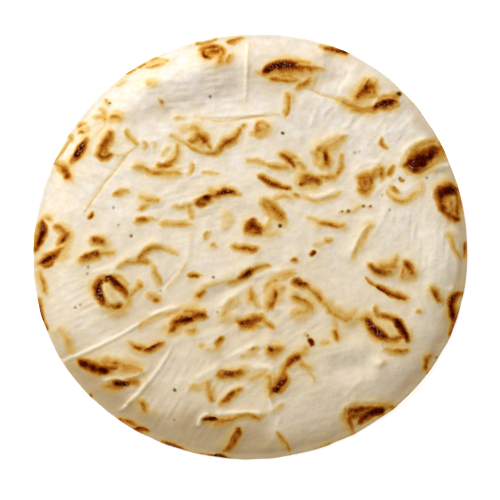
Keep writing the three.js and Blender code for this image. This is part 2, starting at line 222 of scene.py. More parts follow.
# Toasted marks of the top: start x, y, middle x, y, end x, y, width, toast, which goes from 0 for pale
# dough to 1 for charred, and a little past 1 where more of the mark is charred
MARKS = [
    # upper left
    (-57.8, 79.6, -56.2, 80.6, -54, 81.8, 1.2, 0.42),
    (-63.3, 74.8, -61, 75.6, -58.5, 76.3, 1.3, 0.24),
    (-67.2, 66.9, -66.8, 66, -66.4, 65.2, 1.7, 0.42),
    (-70.3, 62.6, -68.8, 60.8, -67.6, 58, 2.2, 0.3),
    (-71.2, 58.2, -69, 58, -67.2, 57.4, 3.4, 0.3),
    (-67.6, 57.6, -67.3, 57, -67.2, 56.4, 1.9, 0.45),
    (-66.8, 56.3, -68, 53.5, -71, 50.6, 1.2, 0.12),
    (-64.2, 57.7, -62.6, 57.6, -60.8, 57, 4.2, 0.4),
    (-64.4, 57.9, -63.8, 57.8, -63.2, 57.8, 2.2, 0.5),
    (-79.6, 54.8, -79, 55.3, -77.2, 55.8, 1.5, 0.5),
    (-79.8, 51.8, -79.2, 51.9, -78, 51.7, 1.7, 0.55),
    (-79, 53.5, -78.5, 53.5, -77.5, 53.5, 4, 0.2),
    (-84.5, 50, -83.8, 49.3, -83.5, 48.2, 2, 0.38),
    (-84, 47.5, -87.3, 42.3, -90, 37.5, 1.0, 0.4),
    (-76.2, 47.6, -79.3, 41.6, -82.8, 37.8, 4.6, 0.72),
    (-77, 45.6, -79, 42.2, -81, 39.4, 4, 1.05),
    (-81.5, 38.5, -82.4, 37.4, -83, 36.8, 3.2, 0.5),
    (-75.8, 43.5, -77, 41, -79, 38.3, 3, 0.22),
    (-64.4, 49.6, -64.3, 49, -64.5, 48.3, 2.8, 0.62),
    (-64.8, 47.6, -66.2, 44.6, -67.2, 41.5, 5.2, 0.6),
    (-66.3, 46, -68.3, 42.6, -69.8, 40.2, 2, 0.67),
    (-69.8, 40, -67.5, 39.2, -64.4, 39.6, 2.2, 0.68),
    (-65.4, 46.5, -66, 44, -66.4, 41.5, 4, 0.56),
    (-64, 39.3, -61, 38.8, -58.5, 38.7, 1.6, 0.14),
    (-57.1, 50.6, -55.6, 47.6, -53, 44.8, 2.8, 0.4),
    (-89.3, 35.3, -87.5, 34.8, -86.1, 33.4, 2.3, 0.62),
    (-86.3, 33.6, -85, 31.6, -84.7, 29.4, 2.8, 0.76),
    (-84.6, 29.6, -84.1, 28.6, -83.6, 27.8, 2, 0.4),
    (-88.6, 34, -87.5, 33, -86.4, 31.9, 2, 0.38),
    (-52.6, 43.8, -64.2, 29.8, -76.5, 12.6, 0.8, 0.2),
    (-62, 21.4, -59, 22.4, -56, 23, 2.5, 0.42),
    (-73.1, 9.8, -72.8, 10.6, -72.4, 11.4, 1.8, 0.82),
    # top
    (-52.3, 83.2, -51, 84, -49.5, 84.8, 1.3, 0.42),
    (-48.6, 83.2, -44.5, 83.7, -40, 84.8, 1.2, 0.42),
    (-46.6, 86.3, -43, 86.8, -38.4, 86.1, 1.1, 0.36),
    (-48, 84.8, -44, 85.3, -39, 85.6, 3.4, 0.22),
    (-47.7, 74, -47, 73.8, -46.3, 73.8, 3.6, 0.31),
    (-41.3, 65.4, -41.2, 64.6, -41.1, 63.8, 1.9, 0.42),
    (-21.4, 89.6, -19.5, 90, -17.2, 90.2, 5.6, 0.6),
    (-22.4, 90.6, -21.9, 88.8, -20.6, 87.3, 2.8, 0.86),
    (-22.4, 91.8, -19.7, 92.8, -17, 92.2, 2.2, 0.74),
    (-18.4, 90.6, -17, 90.3, -15.8, 89.9, 2.1, 0.76),
    (-21.2, 87.2, -20.2, 86.8, -19, 86.9, 2.1, 0.62),
    (-16.6, 92.4, -15.6, 91.8, -14.8, 90.8, 2.2, 0.5),
    (-14.3, 91, -13.2, 88.5, -14.5, 86, 2.4, 0.52),
    (-14.9, 87.6, -14.6, 86, -14.8, 84.4, 4, 0.47),
    (-10.9, 84.5, -10.4, 85.6, -9.6, 87, 3.2, 0.45),
    (-14, 84.4, -12.4, 84, -11, 84.4, 1.8, 0.3),
    (-10.2, 95.8, -7.5, 96.2, -4, 97.2, 1.4, 0.58),
    (-8.6, 95.4, -7, 95.4, -5.3, 95.5, 1.5, 0.36),
    (-25, 95.2, -21, 96.1, -16, 96.8, 1.1, 0.45),
    (-34, 57.8, -32.6, 58, -31.4, 58, 1.6, 0.26),
    (-26, 58.4, -21, 57.4, -17, 56.6, 0.9, 0.15),
    (-17, 56.4, -11.5, 56, -5, 56.6, 1, 0.22),
    (-5, 56.7, 3, 58, 13, 59, 0.8, 0.17),
    (-31.6, 52.1, -30, 52.4, -28.4, 52.6, 1.8, 0.25),
    (-27, 53, -25, 53, -23.5, 51.8, 2, 0.48),
    (-24.4, 52.4, -23.5, 51, -23, 50, 2.6, 0.42),
    (-24.2, 48.7, -23, 47.7, -21, 46.2, 5, 0.48),
    (-24, 49, -22.5, 48.2, -20.7, 46, 3.2, 0.74),
    (-26.6, 46, -25, 46.5, -24, 47.4, 2.5, 0.6),
    (-20.2, 46.4, -19.6, 45, -19, 44, 2, 0.5),
    (-0.3, 98, -0.8, 88, -1, 78, 1, 0.12),
    # top right
    (7.2, 78.8, 16.5, 81.4, 27.5, 80.9, 5.2, 0.66),
    (10, 78, 18, 79, 28.6, 79.4, 3.2, 0.36),
    (7.8, 79.2, 13.2, 82, 20.4, 83.4, 3.6, 1.1),
    (16, 82.2, 21.5, 82.2, 27.5, 81.4, 3.8, 0.74),
    (25, 81.8, 28.5, 81.5, 32.4, 80.8, 3, 0.5),
    (9, 82.6, 17, 84.9, 27, 83.8, 2, 0.4),
    (3.4, 78.4, 5.2, 78.4, 7, 78.6, 1.7, 0.36),
    (9, 76.3, 15, 76, 21, 76.4, 3.4, 0.33),
    (14.5, 77.1, 17.2, 77.6, 20, 77.2, 1.2, 0.5),
    (10, 75, 15.4, 74.7, 20.6, 75.1, 1.7, 0.52),
    (14, 74.9, 16.5, 74.7, 19, 74.9, 1.3, 0.6),
    (21.4, 72.7, 24.5, 74.2, 27.5, 76.4, 3, 0.5),
    (22.9, 73.7, 24.5, 74.3, 26, 75.3, 2, 0.64),
    (27.6, 76.5, 27.9, 75, 27, 73, 2, 0.34),
    (34, 93.4, 35.5, 92.9, 37, 92.2, 1.4, 0.4),
    (36, 92.2, 40, 91.4, 45, 89.9, 2.2, 0.68),
    (41, 91, 43, 90.3, 45.2, 89.8, 1.7, 1.0),
    (36.5, 90.8, 40.5, 89.9, 45, 88.5, 1.8, 0.34),
    (18.3, 67.6, 18, 63.5, 17, 58.4, 1.9, 0.5),
    (17.8, 62, 17.6, 60, 17, 58.3, 1.6, 0.58),
    (23, 72, 33, 68.7, 43, 64.8, 0.9, 0.22),
    (41.2, 65.2, 45, 63.8, 50, 62, 2.2, 0.36),
    (43.5, 64.3, 50, 62.3, 57.5, 61.6, 4, 0.48),
    (49, 61.2, 53.5, 60.3, 58, 60.6, 1.6, 0.46),
    (3, 51, 5, 51.3, 7.3, 51.8, 6, 0.5),
    (1.9, 49.4, 2.5, 52.5, 4.5, 54.3, 2.1, 0.52),
    (4.5, 54.3, 7, 54, 8.7, 53, 1.9, 0.46),
    (8.6, 53, 8.3, 51, 7.4, 49.5, 1.8, 0.4),
    (3, 50.4, 3.6, 51.3, 4.1, 52.1, 1.8, 0.57),
    (2, 49, 3.5, 48.3, 5.5, 47.7, 1.9, 0.3),
    (23.6, 46.9, 24, 46.7, 24.4, 46.6, 1.3, 0.16),
    (49.5, 67.1, 52.4, 70.5, 55, 75.6, 3.3, 0.66),
    (51, 67.6, 53, 69, 55.6, 69.5, 3.4, 0.66),
    (51.4, 68.2, 54.2, 70.6, 56.8, 73.4, 7.4, 0.6),
    (53, 70.4, 54, 71, 54.5, 72.4, 2.8, 0.84),
    (56.4, 75, 58, 72.5, 58.3, 69.4, 3, 0.5),
    (48.4, 67, 50.8, 71, 54, 76.6, 1.8, 0.34),
    (58, 77, 60, 74, 60, 70, 3, 0.14),
    (49, 65.6, 53.5, 66.4, 58.5, 67.4, 3.4, 0.36),
    (57.5, 61.5, 62, 64.4, 67, 66.4, 4.4, 0.74),
    (58.2, 62, 62, 64.4, 65.8, 66.2, 3.2, 1.0),
    (66.3, 66.8, 67.5, 67.8, 69, 69, 2.6, 0.42),
    (60.5, 66.5, 64, 68.5, 68, 68, 2.6, 0.4),
    (60, 61.3, 65, 62.3, 69, 64, 2.1, 0.34),
    (68.6, 69.8, 69, 69, 69.2, 68.2, 1.5, 0.5),
    (76, 57.2, 78.5, 56.8, 81, 56, 3, 0.12),
    # centre left
    (-48.8, 45.6, -48.4, 44.4, -48.4, 43.2, 2.1, 0.34),
    (-44.2, 44.7, -44, 43.8, -43.9, 43, 2.1, 0.27),
    (-37, 49, -33, 46.7, -28.5, 44.6, 1.8, 0.3),
    (-28.6, 44.1, -24, 41.3, -19, 40.3, 1.6, 0.42),
    (-19.6, 40.3, -15.5, 40.7, -13, 42.6, 1.8, 0.48),
    (-13.2, 43, -12, 44.6, -10.2, 46, 3.4, 0.6),
    (-11.8, 44.8, -9, 46.4, -7, 47.7, 2.6, 0.74),
    (-8.6, 46.6, -6, 48.4, -4.4, 51, 2.9, 0.55),
    (-4.4, 51.4, -3.6, 52.8, -3, 53.6, 1.7, 0.34),
    (-36.2, 36, -33.8, 39.5, -33, 43.5, 2.1, 0.46),
    (-40, 34.6, -38, 35.6, -35.4, 37.4, 3.2, 0.6),
    (-41.5, 34.2, -39, 34, -36.8, 34.4, 2.6, 0.72),
    (-40.5, 40, -39.5, 41.5, -38.4, 42.6, 1.5, 0.22),
    (-52.6, 34, -44, 31.8, -33, 30.6, 2.6, 0.42),
    (-46, 31.2, -42, 30.4, -36, 30.3, 2.3, 0.42),
    (-44, 31, -42, 30.7, -40.4, 30.5, 1.6, 0.52),
    (-45.2, 33.7, -43, 34, -41, 34.3, 1.4, 0.25),
    (-46, 32.2, -42, 32.1, -36.5, 31.5, 2.8, 0.24),
    (-26.2, 34.6, -26.5, 33, -27, 31.2, 1.8, 0.38),
    (-21.6, 31.5, -18, 31.4, -14.4, 31.5, 1.3, 0.26),
    (-23.6, 17.6, -21.6, 18.6, -19.4, 19.8, 4.6, 0.8),
    (-24.2, 16.8, -23, 16.5, -21.4, 16.8, 2.1, 0.86),
    (-24, 17.6, -22.8, 19.8, -20.4, 20.3, 2.3, 0.82),
    (-21, 20.3, -20, 19.9, -19.4, 19, 2.5, 0.97),
    (-19.2, 20, -17, 20.5, -14.4, 20.7, 2.6, 0.64),
    (-14.6, 20.9, -11, 21.2, -6.8, 20.8, 3.6, 0.72),
    (-13.4, 21.3, -11, 21.5, -8, 21.1, 2.3, 1.0),
    (-7, 20.9, -5.5, 20.8, -4, 20.6, 1.6, 0.36),
    (-18.2, 22.3, -15, 22, -12, 22.8, 2.5, 0.33),
    (-12, 23, -9.5, 23.3, -7, 22.6, 1.8, 0.34),
    (-47.6, 18.3, -45, 17.6, -42.3, 17.3, 2.6, 0.5),
    (-49.6, 20, -48, 19.5, -45.6, 18.9, 2.2, 0.32),
    (-50.8, 14.8, -49.5, 15.2, -47.4, 15.9, 2, 0.43),
    (-50.6, 16, -49, 17, -47.4, 17.8, 2, 0.22),
    (-34.4, 15.2, -32.5, 15, -30.2, 15, 1.8, 0.28),
    (-30.4, 16, -29, 15.8, -27.7, 15.4, 1.8, 0.2),
    (-28, 14.9, -27.5, 12.8, -27, 10.5, 2.2, 0.35),
    (-40.6, 6.3, -35, 6.8, -30, 7.5, 2, 0.36),
    (-33.2, 6.8, -30.5, 6.9, -28.2, 6.5, 2.6, 0.38),
    (-39, 6.1, -34, 5.9, -29, 5.7, 1.2, 0.28),
    (-50.8, 9, -49.6, 9.3, -48.3, 9.3, 3, 0.65),
    (-48, 9.5, -46, 9.7, -44.3, 9.8, 2.2, 0.3),
    (-20.6, 1, -20, 2.5, -19, 3.6, 1.7, 0.4),
    (-17.3, -2.6, -16.7, -2.6, -16, -2.9, 2.4, 0.38),
    (-16.9, -2.3, -16.7, -2.3, -16.5, -2.4, 1.3, 0.5),
    (-11, 7, -10.6, 9.5, -11, 12, 3, 0.08),
    (-27, 6, -27.6, 0, -28, -6.5, 1.2, 0.08),
    # centre right
    (0, 5.3, 1.5, 5.2, 3.4, 4.7, 5.8, 0.72),
    (0.1, 5, 0.7, 6, 1.2, 7.3, 3.5, 1.0),
    (0.8, 7.4, 1.2, 8, 1.3, 8.7, 2, 0.86),
    (2, 5.6, 3.5, 5, 4.3, 4, 2.7, 0.76),
    (3.5, 7.8, 3.7, 7.5, 3.9, 7.1, 1.2, 0.76),
    (-0.6, 3.9, 1.5, 3.2, 4, 3, 2.3, 0.66),
    (-1.3, 3.9, -1.5, 5.5, -1.2, 7.1, 2, 0.7),
    (4.6, 3.5, 7, 5, 9.4, 9.4, 3, 0.3),
    (5.5, 3.4, 9, 2.8, 12, 3, 2, 0.15),
    (7.6, 18, 10.6, 14.4, 14.2, 10.4, 6, 0.48),
    (10, 14, 12, 12.2, 14.2, 10.8, 3.8, 0.66),
    (9.4, 15, 10.2, 13.8, 11, 13, 2.4, 0.56),
    (6, 17, 7.8, 13.7, 10, 10.6, 1.9, 0.44),
    (6.2, 18.6, 6.8, 16, 8, 14, 3, 0.32),
    (10, 17, 13, 18.9, 18, 18.5, 2.5, 0.3),
    (14.9, 10.5, 16, 9, 16.3, 7.5, 2, 0.24),
    (4.4, 29.4, 9.5, 26.5, 17, 23.2, 3, 0.78),
    (6, 28.5, 9.5, 26.7, 13, 25, 1.9, 0.87),
    (-0.6, 37.2, 4, 36, 9, 34.6, 1.6, 0.33),
    (8.4, 34.6, 12, 33.7, 17, 32.8, 2.4, 0.5),
    (10.4, 34.2, 11.8, 33.8, 13.3, 33.4, 1.7, 0.58),
    (13.8, 39, 17.5, 37, 20.3, 33.7, 2.8, 0.68),
    (15.5, 38.2, 17.8, 36.8, 20, 34.3, 1.7, 0.76),
    (16, 40, 18.5, 39.6, 20.2, 38.6, 2, 0.33),
    (22, 36.6, 24.6, 34, 26, 31, 3, 0.36),
    (24.4, 26.8, 27, 27.4, 30.6, 27.4, 5.6, 0.66),
    (23.5, 25.3, 24.2, 25.5, 25, 25.3, 2, 0.86),
    (26, 28.5, 27, 28.8, 28.5, 28, 2, 0.73),
    (25, 26.5, 26.5, 25.8, 28.4, 25.9, 2.3, 0.6),
    (29.5, 29, 30.5, 27.8, 31.3, 26.8, 2.1, 0.67),
    (23.6, 27.4, 25.4, 29.4, 28, 29.6, 4, 0.46),
    (31.6, 28.8, 35, 29, 38.6, 28.5, 2.9, 0.38),
    (25.6, 23.8, 28.5, 23.4, 31, 23.8, 2.2, 0.22),
    (41.8, 39.6, 41.8, 35, 40.4, 31, 1.9, 0.46),
    (40.4, 31, 39, 29.5, 36, 28.8, 2.5, 0.38),
    (30.6, 40, 31, 38.4, 31.5, 36.4, 2.1, 0.4),
    (31.4, 42, 33, 43, 35.5, 44, 2.5, 0.45),
    (33.2, 42, 34.6, 39.2, 35, 35.6, 6.4, 0.54),
    (34.3, 41.6, 34.3, 39, 35, 35.9, 3, 0.67),
    (34, 40.4, 34.2, 39, 34.5, 37.6, 1.9, 0.9),
    (34.8, 43, 39, 45.4, 44, 48.5, 4.6, 0.42),
    (25, 20.4, 32.6, 17.8, 40.4, 22.2, 1.6, 0.3),
    (20.7, 21, 21.5, 20.8, 22.3, 20.6, 1.9, 0.5),
    (41.1, 12, 41.5, 12.3, 42, 12.6, 1.2, 0.3),
    (44, 12.6, 45, 12.8, 46, 13, 1.6, 0.3),
    (47, 13.2, 48.4, 14, 50, 14.8, 1.6, 0.27),
    (26.4, 9.3, 29, 8.5, 31.5, 7.3, 1.6, 0.24),
    (32, 6.3, 37, 6, 42.4, 5.7, 2.4, 0.58),
    (33.7, 6.6, 36, 6.3, 40, 5.8, 1.5, 0.73),
    (34.4, -0.2, 35.5, -0.5, 36.6, -0.7, 2, 0.42),
    (30, -2.5, 32, -2, 34, -1, 1.6, 0.25),
    (28.5, -7.4, 29, -6.8, 29.5, -6.1, 1.9, 1.1),
    (19.9, -9.6, 20.5, -9.8, 21.1, -10.1, 2.1, 0.74),
    # right
    (60.5, 46.8, 61, 44.9, 62.3, 43, 1.3, 0.5),
    (52, 28.5, 53, 26, 53, 23.5, 4.8, 0.62),
    (50.5, 29, 50.4, 26, 52, 22.6, 2.5, 0.57),
    (53, 29, 55, 28.5, 55.4, 26, 2.5, 0.62),
    (51.5, 23, 53, 22.8, 54.8, 24, 2.5, 0.6),
    (51.5, 29.5, 53, 30, 54.5, 29.3, 1.9, 0.5),
    (55.4, 29.8, 57.6, 31.6, 59.8, 31.4, 4, 0.44),
    (60, 32, 60.5, 30.5, 60, 28.8, 2.5, 0.5),
    (59.8, 30, 60, 29.6, 60.2, 29.2, 1.7, 0.58),
    (64, 29.4, 65.3, 31.3, 66.2, 33.1, 1.9, 0.52),
    (69.3, 27.6, 69.8, 27.6, 70.3, 27.5, 1.3, 0.62),
    (65.5, 23.8, 66.3, 23.4, 67.2, 23.1, 2, 0.6),
    (63.5, 21, 70, 17.8, 76.5, 21, 1.9, 0.33),
    (66.8, 18.4, 70, 17.6, 73.5, 18.3, 1.5, 0.42),
    (76.4, 21, 78.3, 22.6, 78.5, 25.2, 1.8, 0.22),
    (75, 35.4, 81, 38.4, 86, 41, 12.6, 0.66),
    (75.4, 35.2, 76.8, 36, 78.4, 37, 9.6, 1.16),
    (79.6, 37.4, 81.4, 38.3, 83, 39.2, 6.4, 0.86),
    (84, 40.2, 84.8, 40.7, 85.6, 41.1, 7.6, 1.04),
    (72.6, 32.6, 77, 31.4, 82, 32.8, 2.6, 0.46),
    (82, 33, 86, 35.6, 89, 37.8, 2.2, 0.42),
    (74.4, 39.9, 77.8, 43.2, 86.2, 47.2, 3.6, 0.44),
    (87.6, 46, 89.2, 43, 89.6, 39.6, 2.6, 0.5),
    (91.8, 20, 93, 17, 94, 13.4, 5.4, 0.5),
    (88.4, 20.6, 90.4, 22.6, 93.6, 23.8, 7.2, 1.04),
    (88, 20.4, 88, 17, 89.2, 13.6, 5.2, 0.94),
    (89, 13.8, 91.8, 11.2, 95.6, 9.4, 4.4, 0.82),
    (94.8, 23, 95.8, 18, 95.4, 12.6, 2.8, 0.74),
    (88, 25.6, 91, 27, 94, 26.5, 1.8, 0.38),
    (91.4, 2.4, 93.6, -2, 96.4, -7.4, 2, 0.4),
    (98.3, -2, 98.8, -4.8, 98.2, -7.8, 1.5, 0.68),
    (51.2, 15.1, 51.9, 15.1, 52.6, 15.1, 1.5, 0.26),
    (54.6, 15, 55.2, 15, 55.8, 15, 1.4, 0.22),
    (46.4, -9, 50.6, -0.6, 56, 6.4, 3.4, 0.27),
    (50.4, -3, 53, 1, 56, 5.4, 1.8, 0.31),
    # left
    (-95.6, 10.3, -94, 10.3, -92.5, 9.8, 2, 0.4),
    (-95.5, 8.2, -96, 3.5, -97.6, -3, 5.6, 0.76),
    (-95, 6.4, -96, 3, -97, -0.6, 3.4, 1.0),
    (-96.9, -1.2, -97.4, -2.3, -97.8, -3.4, 2.7, 0.84),
    (-89.2, 6, -86.5, 4.6, -84.4, 2, 2.8, 0.6),
    (-84, 1.4, -85.3, 0, -86.5, -2.1, 2.6, 0.86),
    (-84.8, 0.5, -85.5, -0.5, -86.2, -1.5, 1.7, 1.0),
    (-83.2, 2.5, -83.5, 0, -85, -3.1, 1.9, 0.34),
    (-95.4, -10.2, -91.5, -8, -87, -6, 4.2, 0.8),
    (-94, -9.6, -91.5, -8.3, -88.4, -7, 2.6, 0.98),
    (-94, -12.3, -92, -12.3, -90.4, -11.5, 2.7, 0.7),
    (-97.4, -11, -96, -11.3, -94, -12, 2, 0.5),
    (-87, -5.5, -85.5, -4.8, -84.4, -4, 2.2, 0.45),
    (-89, -9.6, -87, -8.3, -85, -7.5, 2.4, 0.22),
    (-72.2, -0.6, -70, -0.5, -67.6, -1, 3.4, 0.6),
    (-71.6, -0.5, -69.8, -0.5, -68.2, -1, 2.2, 0.6),
    (-96.5, -15.5, -95.5, -18.5, -94.6, -23.6, 1.8, 0.42),
    (-95.8, -18, -95.3, -19.2, -95, -20.6, 1.6, 0.52),
    (-96.4, -27.6, -95, -32.7, -92.4, -40.6, 1.5, 0.62),
    (-95.8, -29.5, -95, -32.5, -93.8, -36, 1.2, 0.76),
    (-76.5, -9.6, -74, -8, -70.5, -6.6, 4.4, 0.6),
    (-74.8, -8.5, -73, -7.5, -69.4, -6.3, 3, 0.72),
    (-72.5, -6.8, -71.3, -6.4, -70, -6.2, 2.3, 0.92),
    (-69.6, -6, -67, -5.8, -63.4, -5.8, 2, 0.42),
    (-77.6, -10.2, -75, -10, -72.4, -9.2, 2.5, 0.35),
    (-67.5, -19.4, -68.3, -23, -66.1, -29.6, 4.6, 0.8),
    (-67.3, -19.8, -68.3, -22, -67.8, -25, 3.6, 1.0),
    (-67.5, -25.4, -66.8, -27.5, -66, -29.5, 2.5, 0.82),
    (-70, -18.5, -70.2, -22, -68.6, -28, 1.9, 0.32),
    (-69.5, -18, -67.5, -17, -65.4, -17, 1.6, 0.42),
    (-65, -18, -63.6, -17.8, -62.2, -18.3, 2.3, 0.93),
    (-62.6, -18.2, -59, -21.5, -55.4, -25.4, 3.2, 0.82),
    (-61.5, -19, -59, -21.5, -57.2, -23.6, 2.1, 0.93),
    (-62, -16.4, -59.5, -17.7, -56.4, -21, 2, 0.36),
    (-65.6, -31, -63, -32, -60, -32, 2.8, 0.55),
    (-62.6, -31.8, -60.8, -32, -58.4, -30.8, 2.1, 0.76),
    (-63.6, -33.5, -60.5, -34, -57, -33, 2, 0.3),
    (-57.6, -31.5, -55.5, -30, -54, -27.4, 2.3, 0.38),
    (-54, -27.2, -52.5, -24.6, -50.2, -22, 2.3, 0.42),
    (-51.2, -23.3, -50.6, -22.6, -50.2, -22, 3, 0.48),
    (-64.5, -22, -62.3, -25.5, -60, -29, 4.4, 0.14),
    (-65.6, -26.8, -64.5, -29, -62.4, -30.5, 2.3, 0.36),
    (-60.2, -13.1, -56, -11.5, -50, -11, 2, 0.4),
    (-86.2, -41.5, -84.8, -45, -82.6, -49.8, 5.8, 0.28),
    (-84.5, -45, -83.3, -47.5, -82, -50.6, 2.6, 0.35),
    # lower centre left
    (-51.6, -9.2, -47, -5.1, -42, -4.5, 3, 0.46),
    (-42.2, -4.7, -38.5, -5, -34.9, -7.1, 2.5, 0.4),
    (-46, -5.6, -43.5, -4.4, -40, -4.4, 1.7, 0.5),
    (-52, -11, -50, -10.5, -47.4, -11.6, 2.5, 0.45),
    (-43.3, -13.9, -42.5, -16.5, -41, -19.1, 2.2, 0.42),
    (-29.5, -11.4, -32, -16, -38, -22.2, 1.4, 0.15),
    (-26.6, -18, -25, -17.8, -23.4, -17.5, 1.7, 0.66),
    (-26, -18, -25, -17.8, -24, -17.7, 1.5, 0.76),
    (-23.3, -27.1, -22, -26, -20.7, -24.4, 2.7, 0.57),
    (-45.2, -26, -43.5, -27, -42.4, -28.1, 3.3, 0.42),
    (-43.2, -28, -42.7, -28.1, -42.3, -28.2, 1.8, 0.78),
    (-20, -22.5, -14, -20.4, -8, -20, 2, 0.25),
    (-9, -20, -6, -19.5, -4, -18.8, 2.5, 0.42),
    (-4.6, -18.8, -1.5, -17, 1, -14.6, 3, 0.76),
    (-3.5, -18.3, -1.5, -16.8, 0, -15.8, 1.8, 0.87),
    (0, -15.5, 3.5, -13.2, 8, -12.4, 2.4, 0.58),
    (-50, -40, -44, -36, -38, -34, 1.8, 0.26),
    (-38, -34.3, -34, -33.5, -30, -33, 2, 0.3),
    (-35, -41.6, -31, -37.6, -22, -34.5, 4.6, 0.72),
    (-33.6, -38.6, -30.5, -37.5, -27, -36.3, 3.2, 0.98),
    (-34.8, -42, -34, -41, -33, -40, 3.4, 0.73),
    (-26, -35.5, -24, -34.7, -21, -34.8, 2.9, 0.76),
    (-29.2, -33.5, -26, -32.8, -22.4, -33.3, 2.5, 0.52),
    (-27, -42, -26.2, -42.3, -25.4, -41.4, 2.9, 0.48),
    (-38.7, -41, -38.5, -41, -38.2, -41, 2.4, 0.22),
    (-6.4, -28.9, -9.3, -31.2, -12, -35.1, 4.4, 0.32),
    (-12, -36, -9.5, -36.4, -7, -35.5, 4, 0.12),
    (-4.9, -39, 0, -38.3, 4.5, -37.3, 4.6, 0.8),
    (-4, -38.8, -1, -38.2, 2.6, -37.2, 3.3, 1.05),
    (-4, -40.3, 0, -40.3, 4, -39.5, 1.9, 0.6),
    (4.4, -37.4, 7.5, -38.2, 10.4, -40.3, 3, 0.48),
    (-21.9, -49.8, -21.7, -49.8, -21.5, -49.8, 2.2, 0.45),
    (-16, -48.5, -15.3, -47.5, -14, -46.2, 2.2, 0.58),
    (-19, -51, -16.5, -50, -13.8, -46.6, 4, 0.17),
    (-53.6, -48.7, -51, -49.8, -46.4, -51, 3.2, 0.52),
    (-51.6, -49.4, -50.4, -49.9, -49.2, -50.4, 1.7, 0.63),
    (-46.6, -50.8, -44, -50, -40.7, -47.9, 2.4, 0.82),
    (-45.5, -50.4, -44, -50, -42.4, -49.2, 1.4, 0.92),
    # lower centre right
    (-6.6, -3, -5, -4, -3.4, -4.6, 2.4, 0.5),
    (-4.6, -4.6, -1.5, -5.2, 2.8, -5.2, 2.8, 0.58),
    (-4.5, -4.6, -2.5, -5, 0, -5.3, 1.8, 0.67),
    (10, -18.5, 14, -17.2, 18.4, -15.8, 2.5, 0.32),
    (15.4, -17, 17, -16.3, 18.5, -16, 2.3, 0.38),
    (7.4, -22.2, 9, -20.5, 11.5, -19, 2.5, 0.38),
    (20.4, -20.4, 23, -20.8, 26, -20.6, 2.5, 0.64),
    (20.3, -20, 21.5, -19.7, 22.7, -20, 1.9, 0.86),
    (23.8, -20.5, 24.7, -20.3, 25.5, -20.2, 1.9, 0.84),
    (26, -21.5, 29, -24.5, 32.5, -28, 2.5, 0.48),
    (30.4, -26.5, 31.5, -27.5, 32.5, -28.2, 1.9, 0.53),
    (33.6, -29, 35.2, -31, 36.4, -33.6, 4.4, 0.42),
    (37, -29, 38.5, -32, 39.5, -34, 2.1, 0.3),
    (0.2, -23.8, 1.2, -26.4, 3.6, -31.2, 3.2, 0.46),
    (0, -25, 0.7, -26, 1.3, -27.5, 1.9, 0.51),
    (11.6, -23.8, 11, -26.6, 9.2, -31, 4.8, 0.58),
    (11.5, -25, 11, -26.5, 10, -28.6, 2.5, 0.73),
    (12.4, -24, 13.5, -24, 14.6, -23.4, 2.3, 0.4),
    (20.4, -26.4, 22, -26.8, 24.5, -27.6, 2.5, 0.52),
    (21.9, -26.6, 22.5, -26.8, 23.1, -27, 1.7, 0.62),
    (24.5, -28, 27, -30.5, 28.6, -33, 2.7, 0.42),
    (26.5, -31.5, 25, -33.6, 21.6, -34.4, 5.4, 0.38),
    (20.4, -26, 22.4, -28.6, 25, -31, 5, 0.31),
    (38.4, -34.8, 42, -36.6, 45, -36, 5.2, 0.44),
    (42.4, -37.5, 42.8, -37.4, 43.2, -37.2, 2, 0.56),
    (45, -35.6, 46, -34.2, 47, -33, 2.3, 0.27),
    (39, -31, 39.5, -33.5, 39.5, -35.2, 2.1, 0.3),
    (40.2, -32.2, 41.6, -33.4, 43.4, -34.6, 4, 0.34),
    (48.6, -36.4, 49.6, -37, 50.4, -37.6, 2.6, 0.34),
    (38.5, -36.6, 38.7, -40, 39, -42.6, 1.9, 0.25),
    (38.7, -42.9, 39.5, -44, 40, -45.4, 2.4, 0.65),
    (27.6, -46.6, 28.2, -47.5, 28.4, -48.4, 1.7, 1.1),
    (25.2, -44.6, 25.6, -44.2, 26.1, -43.8, 1.4, 0.36),
    (33, -48.6, 34.2, -48.5, 35.5, -48, 1.9, 0.28),
    (9.3, -50.8, 10.6, -51, 12.6, -50.7, 4.2, 0.62),
    (9.1, -50.7, 9.7, -51, 10.3, -51.4, 2, 0.96),
    (8.4, -52.4, 10.5, -53, 13, -52, 2, 0.42),
    (-0.1, -51, 1.3, -50.4, 2.8, -49.4, 1.3, 0.4),
    (-3.6, -53.6, -1, -53, 1.2, -52.4, 2, 0.26),
    (25.6, -49.8, 24, -52, 22.4, -53.6, 2.9, 0.36),
    (17, -57.6, 19, -56, 22, -54.2, 3.7, 0.75),
    (17.7, -57.1, 19, -56, 20.6, -55.2, 2.4, 0.9),
    (15.4, -58.3, 16.2, -57.8, 17, -57.2, 3, 0.6),
    (15.8, -58.8, 14.8, -61, 15, -63.1, 2.9, 0.58),
    (15.8, -62.4, 14.2, -65.3, 11.7, -68.6, 3.9, 0.82),
    (15.3, -63.5, 14, -65.5, 12, -68.3, 2.4, 1.0),
    (17.1, -63, 16.6, -66, 14, -69.6, 2.3, 0.42),
    (8.1, -63, 9.2, -66, 10, -71.2, 3.2, 0.4),
    (10.5, -64, 10.9, -67, 10.5, -70, 2.5, 0.42),
    (23.4, -57.2, 24.5, -57.8, 25.6, -58.4, 2.9, 0.5),
    (0.4, -64, 3, -63, 6.6, -61.4, 2.3, 0.27),
    (26.9, -62, 28.2, -63.4, 28.8, -65, 1.1, 0.36),
    # lower right
    (55.2, -12.6, 58.8, -14.4, 63, -14.6, 4.2, 0.68),
    (55.8, -13.3, 58, -14.5, 61, -15.3, 2, 0.88),
    (60, -12.8, 63, -12.8, 65.6, -12.4, 3.4, 0.44),
    (64, -13.5, 66, -11.5, 67.3, -8.6, 2.1, 0.4),
    (71.3, -10.8, 72.5, -13, 73.6, -16.1, 2.3, 0.62),
    (71.5, -11.5, 72.2, -12.7, 72.7, -13.9, 1.9, 0.72),
